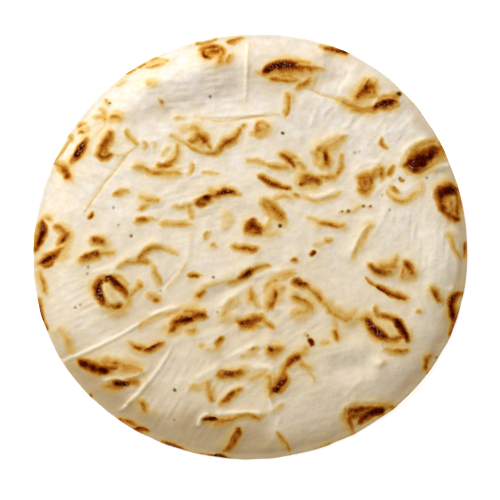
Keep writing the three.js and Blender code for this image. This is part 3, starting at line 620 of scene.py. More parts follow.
    (71, -11.4, 70, -14, 69.3, -17.6, 1.9, 0.5),
    (70.5, -16, 72, -16, 73.5, -16.3, 3.4, 0.37),
    (69.5, -18, 71.5, -18, 74, -17.3, 2.1, 0.33),
    (52.4, -18.5, 57, -21.9, 62, -24.2, 1.1, 0.66),
    (58.4, -22.7, 65, -25.9, 70.6, -27.4, 2.2, 0.82),
    (83.4, -24.6, 84.6, -26, 86.2, -27.7, 4.2, 0.68),
    (83.6, -25, 84.7, -26.2, 86, -27.5, 2.4, 0.84),
    (87, -26.8, 87.4, -27.6, 86.8, -28.8, 1.7, 0.34),
    (96.2, -24.2, 93, -26.6, 91.9, -31, 4.6, 0.88),
    (95, -24.9, 93, -26.8, 92, -30.4, 3, 1.04),
    (91.8, -30.4, 92, -33.4, 92.4, -36.4, 3.6, 0.86),
    (91.9, -31, 92.2, -33, 92.4, -35, 2.1, 1.0),
    (92.4, -36, 91.9, -39.5, 90.6, -43.6, 3.2, 0.7),
    (94.2, -31, 93.9, -34, 93, -38, 2.4, 0.56),
    (91, -27, 90.4, -31, 90.9, -37.4, 1.7, 0.36),
    (95.4, -28, 95, -29, 94.6, -30, 1.6, 0.3),
    (76.2, -33.5, 76.8, -33.5, 77.4, -33.3, 1.9, 0.42),
    (53, -37.3, 57, -41.3, 61.4, -45.7, 5, 0.88),
    (53.8, -38, 57, -41.3, 60.2, -44.8, 4, 1.1),
    (51.4, -36.4, 53, -37.3, 54.5, -38.5, 4.2, 0.62),
    (50.6, -35.4, 53, -35, 55.6, -36.5, 2, 0.34),
    (57, -32.6, 57.5, -34.5, 58.8, -36, 2.1, 0.56),
    (58.4, -36, 60.5, -36, 62.2, -36.2, 2, 0.62),
    (62, -36, 63.5, -36.8, 65.4, -38, 2.3, 0.66),
    (66.2, -38, 68.8, -41, 70.6, -44.6, 4.4, 0.94),
    (67, -38.8, 69, -41.5, 70.2, -44.1, 3.4, 1.1),
    (69.4, -44.8, 70, -45.5, 70.6, -46.3, 2.3, 0.8),
    (61.5, -45.8, 64.5, -46.4, 67.6, -45.3, 2.5, 0.68),
    (61, -40, 63, -42, 64.5, -43.6, 3.6, 0.14),
    (54.4, -41.9, 57.5, -45, 60, -47.1, 1.9, 0.34),
    (61.4, -50.4, 66, -51.2, 70.8, -50.2, 2.2, 0.52),
    (64.4, -51, 66, -51, 67.6, -50.8, 1.5, 0.58),
    (62, -48.4, 65, -48.8, 68, -48.6, 1.6, 0.2),
    (81.6, -53.3, 80.3, -56.5, 80.1, -61, 3.1, 0.62),
    (80.3, -55.2, 80.2, -57, 80.1, -58.7, 1.9, 0.86),
    (58.4, -58.4, 59.6, -58.3, 60.6, -57.8, 2.6, 0.2),
    # lower left
    (-84.5, -57, -72.5, -52.6, -60, -46.4, 1.2, 0.12),
    (-56.4, -77, -50, -71.6, -44, -64.9, 1.2, 0.14),
    (-77.4, -55.8, -70, -58.4, -61.4, -59.8, 4.6, 0.84),
    (-76.4, -56.2, -71, -58.3, -65, -60.1, 3.7, 1.1),
    (-73, -59.8, -68.5, -61.2, -62.4, -61.6, 1.9, 0.52),
    (-78.3, -55.4, -77.5, -57.5, -75, -59.5, 2.3, 0.4),
    (-66, -56.8, -62.5, -57, -58, -57.5, 2.9, 0.55),
    (-61.9, -57.3, -61.5, -57.3, -61, -57.4, 2, 0.74),
    (-62, -57.8, -56, -58.2, -49.8, -59.5, 4, 0.46),
    (-60, -60, -56, -60.1, -52, -61, 2.3, 0.32),
    (-66.6, -66.3, -62, -67.5, -58, -67, 2, 0.52),
    (-63.5, -66.9, -58, -66.5, -52, -65.8, 2.6, 0.54),
    (-61, -66.4, -58.5, -65.9, -55.6, -66.1, 1.7, 1.05),
    (-56, -66.3, -53.5, -65, -51.7, -65.8, 2.7, 0.6),
    (-72, -70, -72.2, -71.4, -71.6, -72.8, 1.2, 0.6),
    (-58.8, -81.6, -55, -83.3, -50, -85.6, 1.5, 0.64),
    (-56, -82.6, -54, -83.3, -52.4, -84, 1.4, 0.72),
    (-50.8, -85.7, -48.5, -86.2, -46.5, -86.9, 1.7, 0.9),
    (-50.6, -74.5, -48.7, -75.6, -47.5, -78.6, 3.3, 0.48),
    (-48.5, -75.4, -48, -76.5, -47.4, -77.9, 1.7, 0.63),
    (-53.6, -74.9, -52.4, -74.6, -51.2, -74.4, 2, 0.25),
    (-43.4, -79.2, -42.5, -79.6, -41.8, -80.4, 3, 0.17),
    (-50, -61, -47.5, -63.5, -46, -66.5, 4, 0.13),
    # bottom
    (-12.6, -62.6, -9, -62.2, -4.2, -61, 4, 0.7),
    (-10.6, -62, -8, -62, -5.4, -61.3, 3, 0.99),
    (-6, -61.6, -4.8, -61.2, -3.8, -60.8, 3, 0.72),
    (-13.6, -62, -12.5, -60.8, -10.7, -60.8, 1.7, 0.6),
    (-13.6, -62.5, -12.8, -64, -11, -64.3, 1.8, 0.55),
    (-25.6, -66.6, -23.5, -66.8, -21.3, -66.2, 2.7, 0.35),
    (-21.6, -66, -20.6, -65.6, -19.6, -65.4, 1.8, 0.3),
    (-19.3, -65.4, -18, -69, -17.3, -73.1, 2.5, 0.52),
    (-13, -74.4, -10, -72, -5, -68.5, 3.4, 0.6),
    (-12, -73.5, -10, -72, -8, -70.5, 1.9, 0.72),
    (-21, -82.6, -17, -82, -12, -82.5, 2.9, 0.52),
    (-19.8, -82.3, -18, -81.8, -16, -81.4, 1.3, 1.15),
    (-13, -83, -10, -82.7, -6, -81.5, 3.1, 0.54),
    (-6.2, -81.5, -2, -80.7, 3.2, -80.8, 2.4, 0.5),
    (2.4, -80.8, 4, -81, 5.6, -81, 1.9, 0.33),
    (-20.5, -84, -15, -84.3, -9, -84, 1.9, 0.33),
    (-5.6, -86.7, -5.8, -89, -7.6, -93.1, 3.3, 0.62),
    (-7.4, -89.4, -9, -92, -11.4, -95.4, 2.9, 0.58),
    (-6.5, -89, -7.5, -91.5, -9.5, -94, 3.8, 0.54),
    (-5.5, -86.9, -5.3, -88, -5, -89.1, 1.7, 0.7),
    (-39.4, -91.6, -35, -93, -29, -95.8, 1.6, 0.7),
    (-37.5, -92.2, -34.5, -93, -31.4, -94.4, 1.4, 0.76),
    (-24.4, -97, -18.5, -98, -12, -98.8, 1.3, 0.78),
    (-14.6, -98.2, -12, -98.5, -10, -98.8, 1.8, 0.97),
    (-10, -98.6, -9.2, -98.6, -8.4, -98.6, 1.4, 0.6),
    (10, -78.5, 12, -77.3, 14, -76, 2.3, 0.24),
    (12.7, -88.8, 15.1, -91.8, 17.6, -95.4, 3.4, 0.53),
    (29.8, -95.1, 33, -94.3, 37, -93.2, 1.2, 0.4),
    (34.4, -93.6, 38, -92.4, 41, -91, 1.2, 0.46),
    (7.4, -95.4, 8.2, -95.4, 9, -95.2, 2, 0.14),
    (43.2, -78, 43.2, -82, 45.2, -87.5, 2.2, 0.4),
    (45.3, -78.4, 45.2, -82, 46.4, -87.6, 3.1, 0.72),
    (45.5, -78.4, 48.5, -78.2, 52, -77.2, 2.5, 0.76),
    (47.4, -79, 49, -78.7, 50.6, -78.3, 1.8, 0.82),
    (47, -81, 51, -80.2, 58, -77.8, 6.4, 0.68),
    (50, -77.8, 54, -77.2, 59, -76.9, 2.7, 0.78),
    (49.8, -82.4, 53.2, -79.9, 58.6, -77.9, 4.2, 1.14),
    (60, -77, 62, -77, 64, -77, 2.5, 0.5),
    (50, -84.4, 54.5, -81.8, 60, -79, 2.1, 0.42),
    (46, -76.4, 52, -75.3, 61, -75, 1.7, 0.28),
]

# Burnt specks of flour: x, y, radius, darkness
SPECKS = [
    (-65.6, 65.2, 0.9, 0.5),
    (-41, 64.9, 1.2, 0.35),
    (-18.6, 67.7, 1, 0.45),
    (15.2, 50, 1, 0.85),
    (70, 70.1, 1.6, 1.0),
    (48.4, 40.6, 0.9, 0.35),
    (50.7, 41.1, 0.8, 0.2),
    (69.1, 28.2, 1.1, 0.5),
    (81.6, 28.9, 0.9, 0.4),
    (66.4, 23.8, 1, 0.45),
    (60.8, 20.5, 0.8, 0.3),
    (42.4, 12.9, 0.9, 0.5),
    (45.2, 13, 1.1, 0.7),
    (52.1, 15.3, 1, 0.5),
    (55.3, 15.2, 1, 0.5),
    (64.1, 13.5, 0.9, 0.25),
    (-62.7, 14.6, 0.9, 0.33),
    (-60.2, 6.5, 0.8, 0.35),
    (-54.4, 1.4, 1, 0.55),
    (13.8, 6.2, 1.2, 0.9),
    (-73.7, -13.1, 1, 0.36),
    (-74, -16.1, 0.9, 0.3),
    (-16.6, -17.8, 0.9, 0.55),
    (-40.6, -23.9, 0.9, 0.3),
    (-79.3, -31.6, 1, 0.35),
    (-77, -30.4, 0.9, 0.3),
    (-14.7, -33.7, 0.8, 0.4),
    (26.1, -44.6, 0.9, 0.5),
    (84.8, -54, 1, 0.55),
    (1.4, -50.4, 1.1, 0.4),
    (-33.8, -69, 1, 0.75),
    (-72.4, -72.5, 1, 0.65),
    (-34.1, -82.1, 0.9, 0.3),
]
SPECK_STEEPNESS = 1.7  # how much steeper than a cone's the side of a speck's darkness is

# How the marks are toasted, and the blisters that they stand on
PATH_STEPS = 10  # straight steps along a crease or a mark
LEAST_SQUARE = 1e-9  # the least square of a step's length, so that no division is by nothing
BLISTER_RISE = 0.24  # a mark stands on a blister, as high as this share of its width
BLISTER_HIGHEST = 1.0
BLISTER_REACH = (1.3, 0.65)  # a blister's half width: its least, and the share of the mark's width added
MARK_EASING = 0.2  # how much paler half-toasted marks come out
MARK_CORE = 0.8  # toast falls to nothing at this share of a mark's half width
MARK_SKIRT = (1.72, 0.42)  # and so much farther out: for pale marks, and what is taken off if charred
MARK_LEAN = 0.6  # at most, how much farther it falls on one side, and nearer on the other
MARK_SIDES = (3.7, 5.3)  # factors of its start's x and y in the sine that settles which side
MARK_SLOPE = 0.15  # at most, how much darker one end is
MARK_ENDS = (4.1, -2.9)  # factors of its end's x and y in the sine that settles which end
MARK_FULL = 3.0  # marks shorter than this are crisper, with less of a skirt and a halo
MARK_THIN = 1.8  # and so are those narrower than this
MARK_POINTED = 0.55  # how much narrower long marks are at their ends
MARK_LONG = 2.5  # a mark of this many times its width is long
MARK_FALL = (1.15, 0.5)  # power of the fall: for pale marks, and what is taken off if charred
MARK_RAGGED = (2.2, 0.18)  # cell and share of the noise that makes marks wider and narrower
MARK_UNEVEN = [(7.0, 0.2), (1.8, 0.15)]  # cell and share of the noises that make them darker and lighter
MARK_UNION = 6  # marks that meet blend as a sum of this power
HALO_WIDTH = 2.1  # how far a pale golden halo spreads around a mark
HALO_LEVEL = 0.2  # how toasted a halo is, at most
HALO_POWER = 0.15  # power of the mark's toast in its halo's
HALO_PATCHES = 8.0  # cell of the noise that makes halos patchy
HALO_RANGE = (-0.5, 0.7)  # they are missing below the first value of that noise, and full from the second
HAZE_WIDTH = 7.0  # a faint haze spreads this far
HAZE_LEVEL = 0.04  # how toasted the haze of a charred mark is
HAZE_MOST = 0.09  # and where the hazes of many marks add up, at most
HAZE_REACH = 2  # haze is left out farther off than this many times its width
EDGE_WARPS = [(6.0, 0.8), (2.4, 0.25), (1.3, 0.1)]  # cell and reach of the noise that makes edges wander

# Small unevenness of the dough: noise cell and height
UNEVENNESS = [(17.0, 0.5), (8.0, 0.25), (4.0, 0.10), (2.0, 0.05)]

# Marks of the underside, which lies on the griddle last: made at random between these limits
UNDER_MARKS = 110
UNDER_MARGIN = 8  # the least distance of a mark's middle from the rim
UNDER_HALF_LENGTH = (0.5, 6.5)
UNDER_BEND = 1.2  # the usual distance of a mark's middle from the line between its ends
UNDER_WIDTH = (2.0, 6.0)
UNDER_TOAST = (0.28, 1.0)
UNDER_TOAST_POWER = 1.2  # makes more of the marks pale
UNDER_RISE = 0.3  # how much of a mark's rise shows below

# Noise: random values along each side of a square that repeats, and the sheet's middle on that square
NOISE_CORNERS = 256
NOISE_MIDDLE = (128.37, 128.61)

# Seeds: each list of noises takes the numbers that follow
TOP_SEED = 31
UNDER_SEED = 51
UNDER_MARKS_SEED = 20
RELIEF_SEED = 11
CRINKLE_SEED = 111
RIM_SEED = 71
RAGGED_SEED = 8  # this and the next two are added to the seed of the top or the underside
HALO_SEED = 11
UNEVEN_SEED = 13

# Rings of the discs; ring i has SECTORS * i points, and the underside has half as many rings as the top
SECTORS = 6
TOP_RINGS = 158
UNDER_RINGS = TOP_RINGS // 2
RIM_STEPS = 4
RIM_POINTS = SECTORS * TOP_RINGS

# The map for baking is two discs: where the middle of each lies on both axes, and the size of 1 mm
TOP_MAP = (0.338, 0.00325)
UNDER_MAP = (0.757, 0.00238)

# Noises of the dough: scale, detail, roughness
DOUGH_NOISES = {
    "blotches": (55, 3, 0.55),
    "tint": (150, 6, 0.6),
    "patches": (230, 3, 0.55),
    "yellows": (330, 3, 0.6),
    "glints": (1000, 1, 0.55),
    "grain": (1100, 2, 0.55),
}

# Bare dough is between two creams, by its tint
COOL_CREAM = (239, 231, 226)
WARM_CREAM = (232, 218, 196)
TINT_RANGE = (0.32, 0.68)

# Colours laid over it in turn: noise, the values at which it starts and is full, share when full, colour
DOUGH_LAYERS = [
    ("blotches", 0.35, 0.65, 0.35, (231, 219, 201)),
    ("patches", 0.5, 0.7, 0.7, (246, 240, 233)),
    ("patches", 0.5, 0.3, 0.5, (222, 208, 189)),
    ("yellows", 0.5, 0.7, 0.55, (232, 214, 181)),
    ("yellows", 0.5, 0.3, 0.5, (237, 233, 232)),
]

# Other colours of the crust: the near colour and the tan colour also paint shade, and the pale colour also
# paints highlights and light
NEAR_SHADE_COLOUR = (243, 222, 176)
TAN_AND_SHADE_COLOUR = (168, 134, 76)
PALE_AND_LIGHT_COLOUR = (250, 240, 216)
GLINT_COLOUR = (206, 160, 122)
SPECK_COLOURS = [(160, 124, 62), (46, 14, 0)]  # of faint specks and of burnt ones

# Colour of the crust by how toasted it is
TOAST_COLOURS = [
    (0.0, (237, 221, 187)),
    (0.1, (234, 211, 164)),
    (0.2, (227, 194, 128)),
    (0.3, (217, 174, 94)),
    (0.4, (203, 149, 60)),
    (0.5, (186, 122, 36)),
    (0.6, (167, 95, 20)),
    (0.7, (143, 66, 6)),
    (0.8, (118, 43, 2)),
    (0.9, (82, 20, 0)),
    (1.0, (52, 5, 0)),
]

# What a value turns into: its first and last value, and what these become
NEAR_SHADE_SHARE = (0.05, -0.09, 0, 0.5)  # place towards the far side, in metres, into share of the near colour, a warmer painted shade on the side away from the light
GRAIN_SHADE = (0.3, 0.7, 0.88, 1.11)  # grain into a factor of the toast, which then is the shade
PATCH_SHADE = (0.3, 0.7, 0.9, 1.1)  # patches into another
CRUST_SHARE = (0.0, 0.16, 0, 1)  # shade into share of the toasted colours
TAN_AND_SHADE_SHARE = (0.1, 0.45, 0.66, 0)  # shade into the share of its tan and painted shade that dough keeps
PALE_AND_LIGHT_SHARE = (0.1, 0.3, 0.68, 0)  # and of the paleness of its creases, bumps and patches, which is partly painted highlight and painted light
GLINT_NOISE = (0.58, 0.66, 0, 1)  # noise into small painted glints of light on charred marks
GLINT_BLOTCHES = (0.45, 0.55, 0, 1)  # blotches into where these are
GLINT_TOAST = (0.6, 0.95, 0, 0.5)  # toast into how much they show
SPECK_DARKNESS = (0.3, 1.0, 0, 1)  # a speck's darkness into its colour
SPECK_SHARE = (0.0, 0.4, 0, 1)  # and into how much it covers
CRUST_ROUGHNESS = (0.2, 0.9, 0.82, 0.6)  # shade into roughness
CRUST_GLOSS = 0.01
PATCH_HEIGHT = 1.6  # height of the fine bumps of the patches, in bump depths
GRAIN_HEIGHT = 0.5  # and of the grain
BUMP_STRENGTH = 0.5
BUMP_DEPTH = 0.0005  # in metres

# The floor of white paper
FLOOR_HALF = 3.0  # half of its side, in metres
FLOOR_TOOTH = (40, 2, 0.55)  # scale, detail and roughness of its noise
FLOOR_WHITES = [(0.98, 0.98, 0.98, 1), (0.995, 0.995, 0.995, 1)]
FLOOR_ROUGHNESS = 0.9
FLOOR_GLOSS = 0.1
FLOOR_GLOW = 0.55  # light that it gives off itself, so that shadows on it are faint
WHITE = (1, 1, 1, 1)

# Light: the key's place and size are in metres
KEY_PLACE = (-0.52, 0.68, 0.88)
KEY_SIZE = 0.42
KEY_POWER = 13.0
SURROUND_POWER = 0.37
BRIGHTNESS = 1.09  # how much brighter than needed the light is, so that the floor comes out white

# The photograph's view: the camera's height angle, what it looks at, its distance and its lens
VIEW_ELEVATION = 80
VIEW_TARGET = (0, -4.7, 4)
VIEW_DISTANCE = 637
LENS_MM = 100
SENSOR_MM = 36

# Sockets of a node that mixes colours
MIX_SHARE = 0
MIX_FIRST = 6
MIX_SECOND = 7
MIX_RESULT = 2


def ease(low, high, value):
    """Goes from 0 at low to 1 at high as 3t^2 - 2t^3, where t is the share of the way."""
    t = np.clip((value - low) / (high - low), 0, 1)
    return t * t * (3 - 2 * t)


def value_noise(x, y, cell, seed):
    """Smooth noise from -1 to 1: random values at the corners of square cells, eased between corners."""
    size = NOISE_CORNERS
    corners = np.random.default_rng(seed).uniform(-1, 1, (size, size))
    u = x / cell + NOISE_MIDDLE[0]
    v = y / cell + NOISE_MIDDLE[1]
    i = np.floor(u).astype(int)
    j = np.floor(v).astype(int)
    s = ease(0, 1, u - i)
    t = ease(0, 1, v - j)
    lower = corners[i % size, j % size] * (1 - s) + corners[(i + 1) % size, j % size] * s
    upper = corners[i % size, (j + 1) % size] * (1 - s) + corners[(i + 1) % size, (j + 1) % size] * s
    return lower * (1 - t) + upper * t


def outline_radius(angle):
    """Distance from the middle to the rim: the mean radius plus cosine waves around it and some noise."""
    radius = np.full_like(angle, RADIUS)
    for count, height, crest in OUTLINE_WAVES:
        radius += height * np.cos(count * (angle - np.radians(crest)))
    cell, unevenness = OUTLINE_RAGGED
    noise = value_noise(RADIUS * np.cos(angle), RADIUS * np.sin(angle), cell, RIM_SEED)
    return radius + unevenness * noise - OUTLINE_MARGIN


def bell_around(angle, direction, half_width):
    """A bell around the rim: e^-t^2, where t is the turn from a direction, in half widths of the bell."""
    turn = np.angle(np.exp(1j * (angle - np.radians(direction))))
    return np.exp(-((turn / np.radians(half_width)) ** 2))


def turned(x, y, direction):
    """Each point's distance from the middle along a direction in degrees, and across it to the left."""
    cos, sin = np.cos(np.radians(direction)), np.sin(np.radians(direction))
    return x * cos + y * sin, y * cos - x * sin


def nearest_on_path(x, y, row):
    """Distance to the curve through a row's three points, the way along it from 0 to 1, and the side.

    The curve is start (1-s)^2 + 2 pull s(1-s) + end s^2, where pull makes it pass the middle point at
    s = 1/2. It is taken as short straight steps, and the nearest of them gives the distance. The side is
    1 on the left of the way from start to end, and -1 on the right.
    """
    x0, y0, xm, ym, x1, y1 = row[:6]
    s = np.linspace(0, 1, PATH_STEPS + 1)
    path_x = x0 * (1 - s) ** 2 + (4 * xm - x0 - x1) * s * (1 - s) + x1 * s**2
    path_y = y0 * (1 - s) ** 2 + (4 * ym - y0 - y1) * s * (1 - s) + y1 * s**2
    step_x = np.diff(path_x)
    step_y = np.diff(path_y)
    off_x = x[:, None] - path_x[:-1]
    off_y = y[:, None] - path_y[:-1]
    square = np.maximum(step_x**2 + step_y**2, LEAST_SQUARE)
    share = np.clip((off_x * step_x + off_y * step_y) / square, 0, 1)
    gaps = np.hypot(off_x - share * step_x, off_y - share * step_y)
    best = np.argmin(gaps, axis=1)
    points = np.arange(len(x))
    side = np.sign(step_x * off_y - step_y * off_x)
    return gaps[points, best], (best + share[points, best]) / PATH_STEPS, side[points, best]


def points_near(x, y, row, reach):
    """The points inside the box around a row's three points, widened by reach."""
    inside = (x > min(row[0:6:2]) - reach) & (x < max(row[0:6:2]) + reach)
    inside &= (y > min(row[1:6:2]) - reach) & (y < max(row[1:6:2]) + reach)
    return np.flatnonzero(inside)


def lift_at(inset, angle):
    """Height of the sheet's underside off the floor: a quarter sine wave up from the rim to the middle,
    plus a bell-shaped rise at each place where the rim stands clear."""
    width = FALL_WIDTH + FALL_SPREAD * np.cos(angle - np.radians(FALL_WIDEST))
    share = np.clip((inset - CONTACT_BACK) / width, 0, 1)
    height = MIDDLE_LIFT * np.sin(share * np.pi / 2)
    for direction, half_width, rise in RIM_LIFTS:
        height += rise * bell_around(angle, direction, half_width) * (1 - share)
    return height


def bells_at(x, y, rows):
    """Sum of bells over ellipses: each is e^-(u^2 + v^2), with u along it and v across it in half sizes."""
    height = np.zeros_like(x)
    for middle_x, middle_y, half_length, half_width, turn, rise in rows:
        along, across = turned(x - middle_x, y - middle_y, turn)
        u, v = along / half_length, across / half_width
        height += rise * np.exp(-u * u - v * v)
    return height


def swell_at(x, y, inset):
    """The broad swells, fading out near the rim."""
    return bells_at(x, y, SWELLS) * ease(CONTACT_BACK, SWELL_FADE, inset)


def bands_at(x, y, rows):
    """Sum of bands: each is a bell across its path, tapering out at both ends."""
    height = np.zeros_like(x)
    for row in rows:
        half, rise = row[6:]
        at = points_near(x, y, row, BAND_REACH * half)
        gap, along, _ = nearest_on_path(x[at], y[at], row)
        taper = ease(0, BAND_TAPER, np.minimum(along, 1 - along))
        height[at] += rise * taper * np.exp(-((gap / half) ** 2))
    return height


def browning(x, y, marks, seed):
    """How toasted each point is, and how far the marks stand up as blisters.

    A mark's toast falls from its path to nothing at its reach, which narrows towards its ends, is longer
    on one side than on the other and is ragged by noise. Which side is longer and which end is darker
    comes from sines of its place. A patchy halo and a wider, fainter haze around it are bells. Points are
    first shifted by noise, so that the edges wander.
    """
    warped_x, warped_y = x.copy(), y.copy()
    for k, (cell, reach) in enumerate(EDGE_WARPS):
        warped_x += reach * value_noise(x, y, cell, seed + 2 * k)
        warped_y += reach * value_noise(x, y, cell, seed + 2 * k + 1)
    ragged = 1 + MARK_RAGGED[1] * value_noise(x, y, MARK_RAGGED[0], seed + RAGGED_SEED)
    patches = ease(*HALO_RANGE, value_noise(x, y, HALO_PATCHES, seed + HALO_SEED))
    toast, halo, haze, mound = np.zeros((4, len(x)))
    for row in marks:
        width, level = row[6:]
        lean = np.sin(MARK_SIDES[0] * row[0] + MARK_SIDES[1] * row[1])
        slope = np.sin(MARK_ENDS[0] * row[4] + MARK_ENDS[1] * row[5])
        level -= MARK_EASING * level**2 * (1 - level)
        at = points_near(warped_x, warped_y, row, width / 2 + HAZE_REACH * HAZE_WIDTH)
        gap, along, side = nearest_on_path(warped_x[at], warped_y[at], row)
        length = np.hypot(row[4] - row[0], row[5] - row[1])
        fullness = min(1, max(width, length) / MARK_FULL) * min(1, width / MARK_THIN)
        pointed = MARK_POINTED * ease(width, MARK_LONG * width, length)
        half = width / 2 * (1 - pointed * (2 * along - 1) ** 2)
        skirt = (MARK_SKIRT[0] - MARK_SKIRT[1] * level) * fullness
        reach = (MARK_CORE * half + skirt * (1 + MARK_LEAN * lean * side)) * ragged[at]
        fall = np.maximum(1 - gap / reach, 0) ** (MARK_FALL[0] - MARK_FALL[1] * level)
        ends = level * (1 + MARK_SLOPE * slope * (2 * along - 1))
        toast[at] += (ends * fall) ** MARK_UNION
        outside = np.maximum(gap - half, 0)
        glow = HALO_LEVEL * level**HALO_POWER * fullness**2 * patches[at]
        halo[at] = np.maximum(halo[at], glow * np.exp(-((outside / HALO_WIDTH) ** 2)))
        haze[at] += HAZE_LEVEL * level * np.exp(-((outside / HAZE_WIDTH) ** 2))
        swollen = np.exp(-((gap / (BLISTER_REACH[0] + BLISTER_REACH[1] * width)) ** 2))
        mound[at] = np.maximum(mound[at], min(BLISTER_RISE * width, BLISTER_HIGHEST) * swollen)
    toast = toast ** (1 / MARK_UNION)
    for k, (cell, share) in enumerate(MARK_UNEVEN):
        toast *= 1 + share * value_noise(x, y, cell, seed + UNEVEN_SEED + k)
    toast = np.minimum(toast, 1)
    haze = HAZE_MOST * (1 - np.exp(-haze / HAZE_MOST))
    return 1 - (1 - np.maximum(toast, halo)) * (1 - haze), mound


def specks_at(x, y):
    """How dark the burnt specks make each point: each is a cone with a blunt top."""
    dark = np.zeros_like(x)
    for middle_x, middle_y, radius, darkness in SPECKS:
        share = 1 - np.hypot(x - middle_x, y - middle_y) / radius
        dark = np.maximum(dark, darkness * np.clip(SPECK_STEEPNESS * share, 0, 1))
    return dark


def unevenness_at(x, y):
    """Sum of noises of ever smaller cells and heights, and of patches of noise drawn out into crinkles."""
    height = np.zeros_like(x)
    for k, (cell, rise) in enumerate(UNEVENNESS):
        height += rise * value_noise(x, y, cell, RELIEF_SEED + k)
    length, width = CRINKLE_CELL
    for k, (middle_x, middle_y, reach, direction, rise) in enumerate(CRINKLES):
        along, across = turned(x, y, direction)
        noise = value_noise(along * width / length, across, width, CRINKLE_SEED + k)
        patch = np.exp(-((x - middle_x) ** 2 + (y - middle_y) ** 2) / reach**2)
        height += rise * patch * noise
    return height


def tan_and_shade_at(x, y, inset, angle):
    """How much the dough turns light brown, from 0 to 1, partly its own colour and partly painted shade: it
    grows across the middle of the sheet towards the near side, away from the light, as painted shade, with
    some stretches of the rim and some bands added, which are mostly painted shade on faces turned away from
    the light."""
    across = 0.5 - y / (2 * RADIUS)
    tan_and_shade = NEAR_PAINTED_SHADE * ease(*NEAR_RANGE, across) * (1 - SIDE_LESS * ease(*SIDE_RANGE, np.abs(x)))
    for direction, half_width, reach, level in RIM_TANS_AND_SHADE:
        tan_and_shade += level * bell_around(angle, direction, half_width) * (1 - ease(LIP, reach, inset))
    return np.minimum(tan_and_shade + bands_at(x, y, TAN_AND_SHADE_BANDS), 1)


def random_marks(count, seed):
    """Marks like those of the top, at random: middle, direction, length, bend, width and toast."""
    rng = np.random.default_rng(seed)
    radius = (RADIUS - UNDER_MARGIN) * np.sqrt(rng.uniform(0, 1, count))
    place = rng.uniform(0, 2 * np.pi, count)
    turn = rng.uniform(0, np.pi, count)
    half_length = rng.uniform(*UNDER_HALF_LENGTH, count)
    bend = rng.normal(0, UNDER_BEND, count)
    width = rng.uniform(*UNDER_WIDTH, count)
    toast = rng.uniform(*UNDER_TOAST, count) ** UNDER_TOAST_POWER
    middle_x, middle_y = radius * np.cos(place), radius * np.sin(place)
    along_x, along_y = half_length * np.cos(turn), half_length * np.sin(turn)
    bent_x, bent_y = middle_x - bend * np.sin(turn), middle_y + bend * np.cos(turn)
    start = (middle_x - along_x, middle_y - along_y)
    end = (middle_x + along_x, middle_y + along_y)
    return np.column_stack((*start, bent_x, bent_y, *end, width, toast))


def first_of_ring(ring):
    """Number of a ring's first point: 0 for the middle, and 1 + SECTORS i (i - 1) / 2 for ring i."""
    return np.where(ring > 0, 1 + SECTORS * ring * (ring - 1) // 2, 0)


def disc_grid(rings):
    """Ring and step around it of each point of a disc: one in the middle, then SECTORS * i on ring i."""
    ring = np.repeat(np.arange(rings + 1), np.maximum(SECTORS * np.arange(rings + 1), 1))
    return ring, np.arange(len(ring)) - first_of_ring(ring)


def disc_faces(rings):
    """Triangles of such a disc, counterclockwise from above.

    Ring i has six sectors of i steps. Each step makes a triangle with one point of the ring inside it,
    and each step but a sector's last makes a second one with two points of that ring.
    """
    ring, step = disc_grid(rings)
    i, j = ring[1:], step[1:]
    sector, k = j // i, j % i
    outer_first, inner_first = first_of_ring(i), first_of_ring(i - 1)
    inner_count = np.maximum(SECTORS * (i - 1), 1)
    outer_a = outer_first + j
    outer_b = outer_first + (j + 1) % (SECTORS * i)
    inner_a = inner_first + (sector * (i - 1) + k) % inner_count
    inner_b = inner_first + (sector * (i - 1) + k + 1) % inner_count
    wide = np.column_stack((inner_a, outer_a, outer_b))
    narrow = np.column_stack((inner_a, outer_b, inner_b))[k < i - 1]
    return np.concatenate((wide, narrow))


def edge_faces(first_rim, first_under):
    """Triangles of the rounded edge: two between neighbours of one ring and the next.

    On the seam below it, each step of the underside's last ring meets two steps of the edge's, and the
    three make three triangles.
    """
    j = np.arange(RIM_POINTS)
    ring_start = np.arange(RIM_STEPS)[:, None] * RIM_POINTS + first_rim - RIM_POINTS
    upper_a = (ring_start + j).ravel()
    upper_b = (ring_start + (j + 1) % RIM_POINTS).ravel()
    lower_a, lower_b = upper_a + RIM_POINTS, upper_b + RIM_POINTS

    steps = RIM_POINTS // 2
    half = np.arange(steps)
    low = first_under - RIM_POINTS
    low_a, low_b, low_c = low + 2 * half, low + 2 * half + 1, low + (2 * half + 2) % RIM_POINTS
    under_last = first_under + first_of_ring(UNDER_RINGS)
    under_a, under_b = under_last + half, under_last + (half + 1) % steps
    return np.concatenate(
        (
            np.column_stack((upper_a, lower_a, lower_b)),
            np.column_stack((upper_a, lower_b, upper_b)),
            np.column_stack((low_a, under_a, low_b)),
            np.column_stack((low_b, under_a, under_b)),
            np.column_stack((low_b, under_b, low_c)),
        )
    )


class Side:
    """Grid of the top or the underside: rings from the middle to where the rounded edge begins.

    A point's distance from the middle is its ring's share of the way to the edge. Its inset is its
    distance from the outline.
    """

    def __init__(self, rings):
        self.ring, step = disc_grid(rings)
        self.angle = 2 * np.pi * step / np.maximum(SECTORS * self.ring, 1)
        self.edge = outline_radius(self.angle)
        self.radius = (self.edge - LIP) * self.ring / rings
        self.x, self.y = self.radius * np.cos(self.angle), self.radius * np.sin(self.angle)
        self.inset = self.edge - self.radius


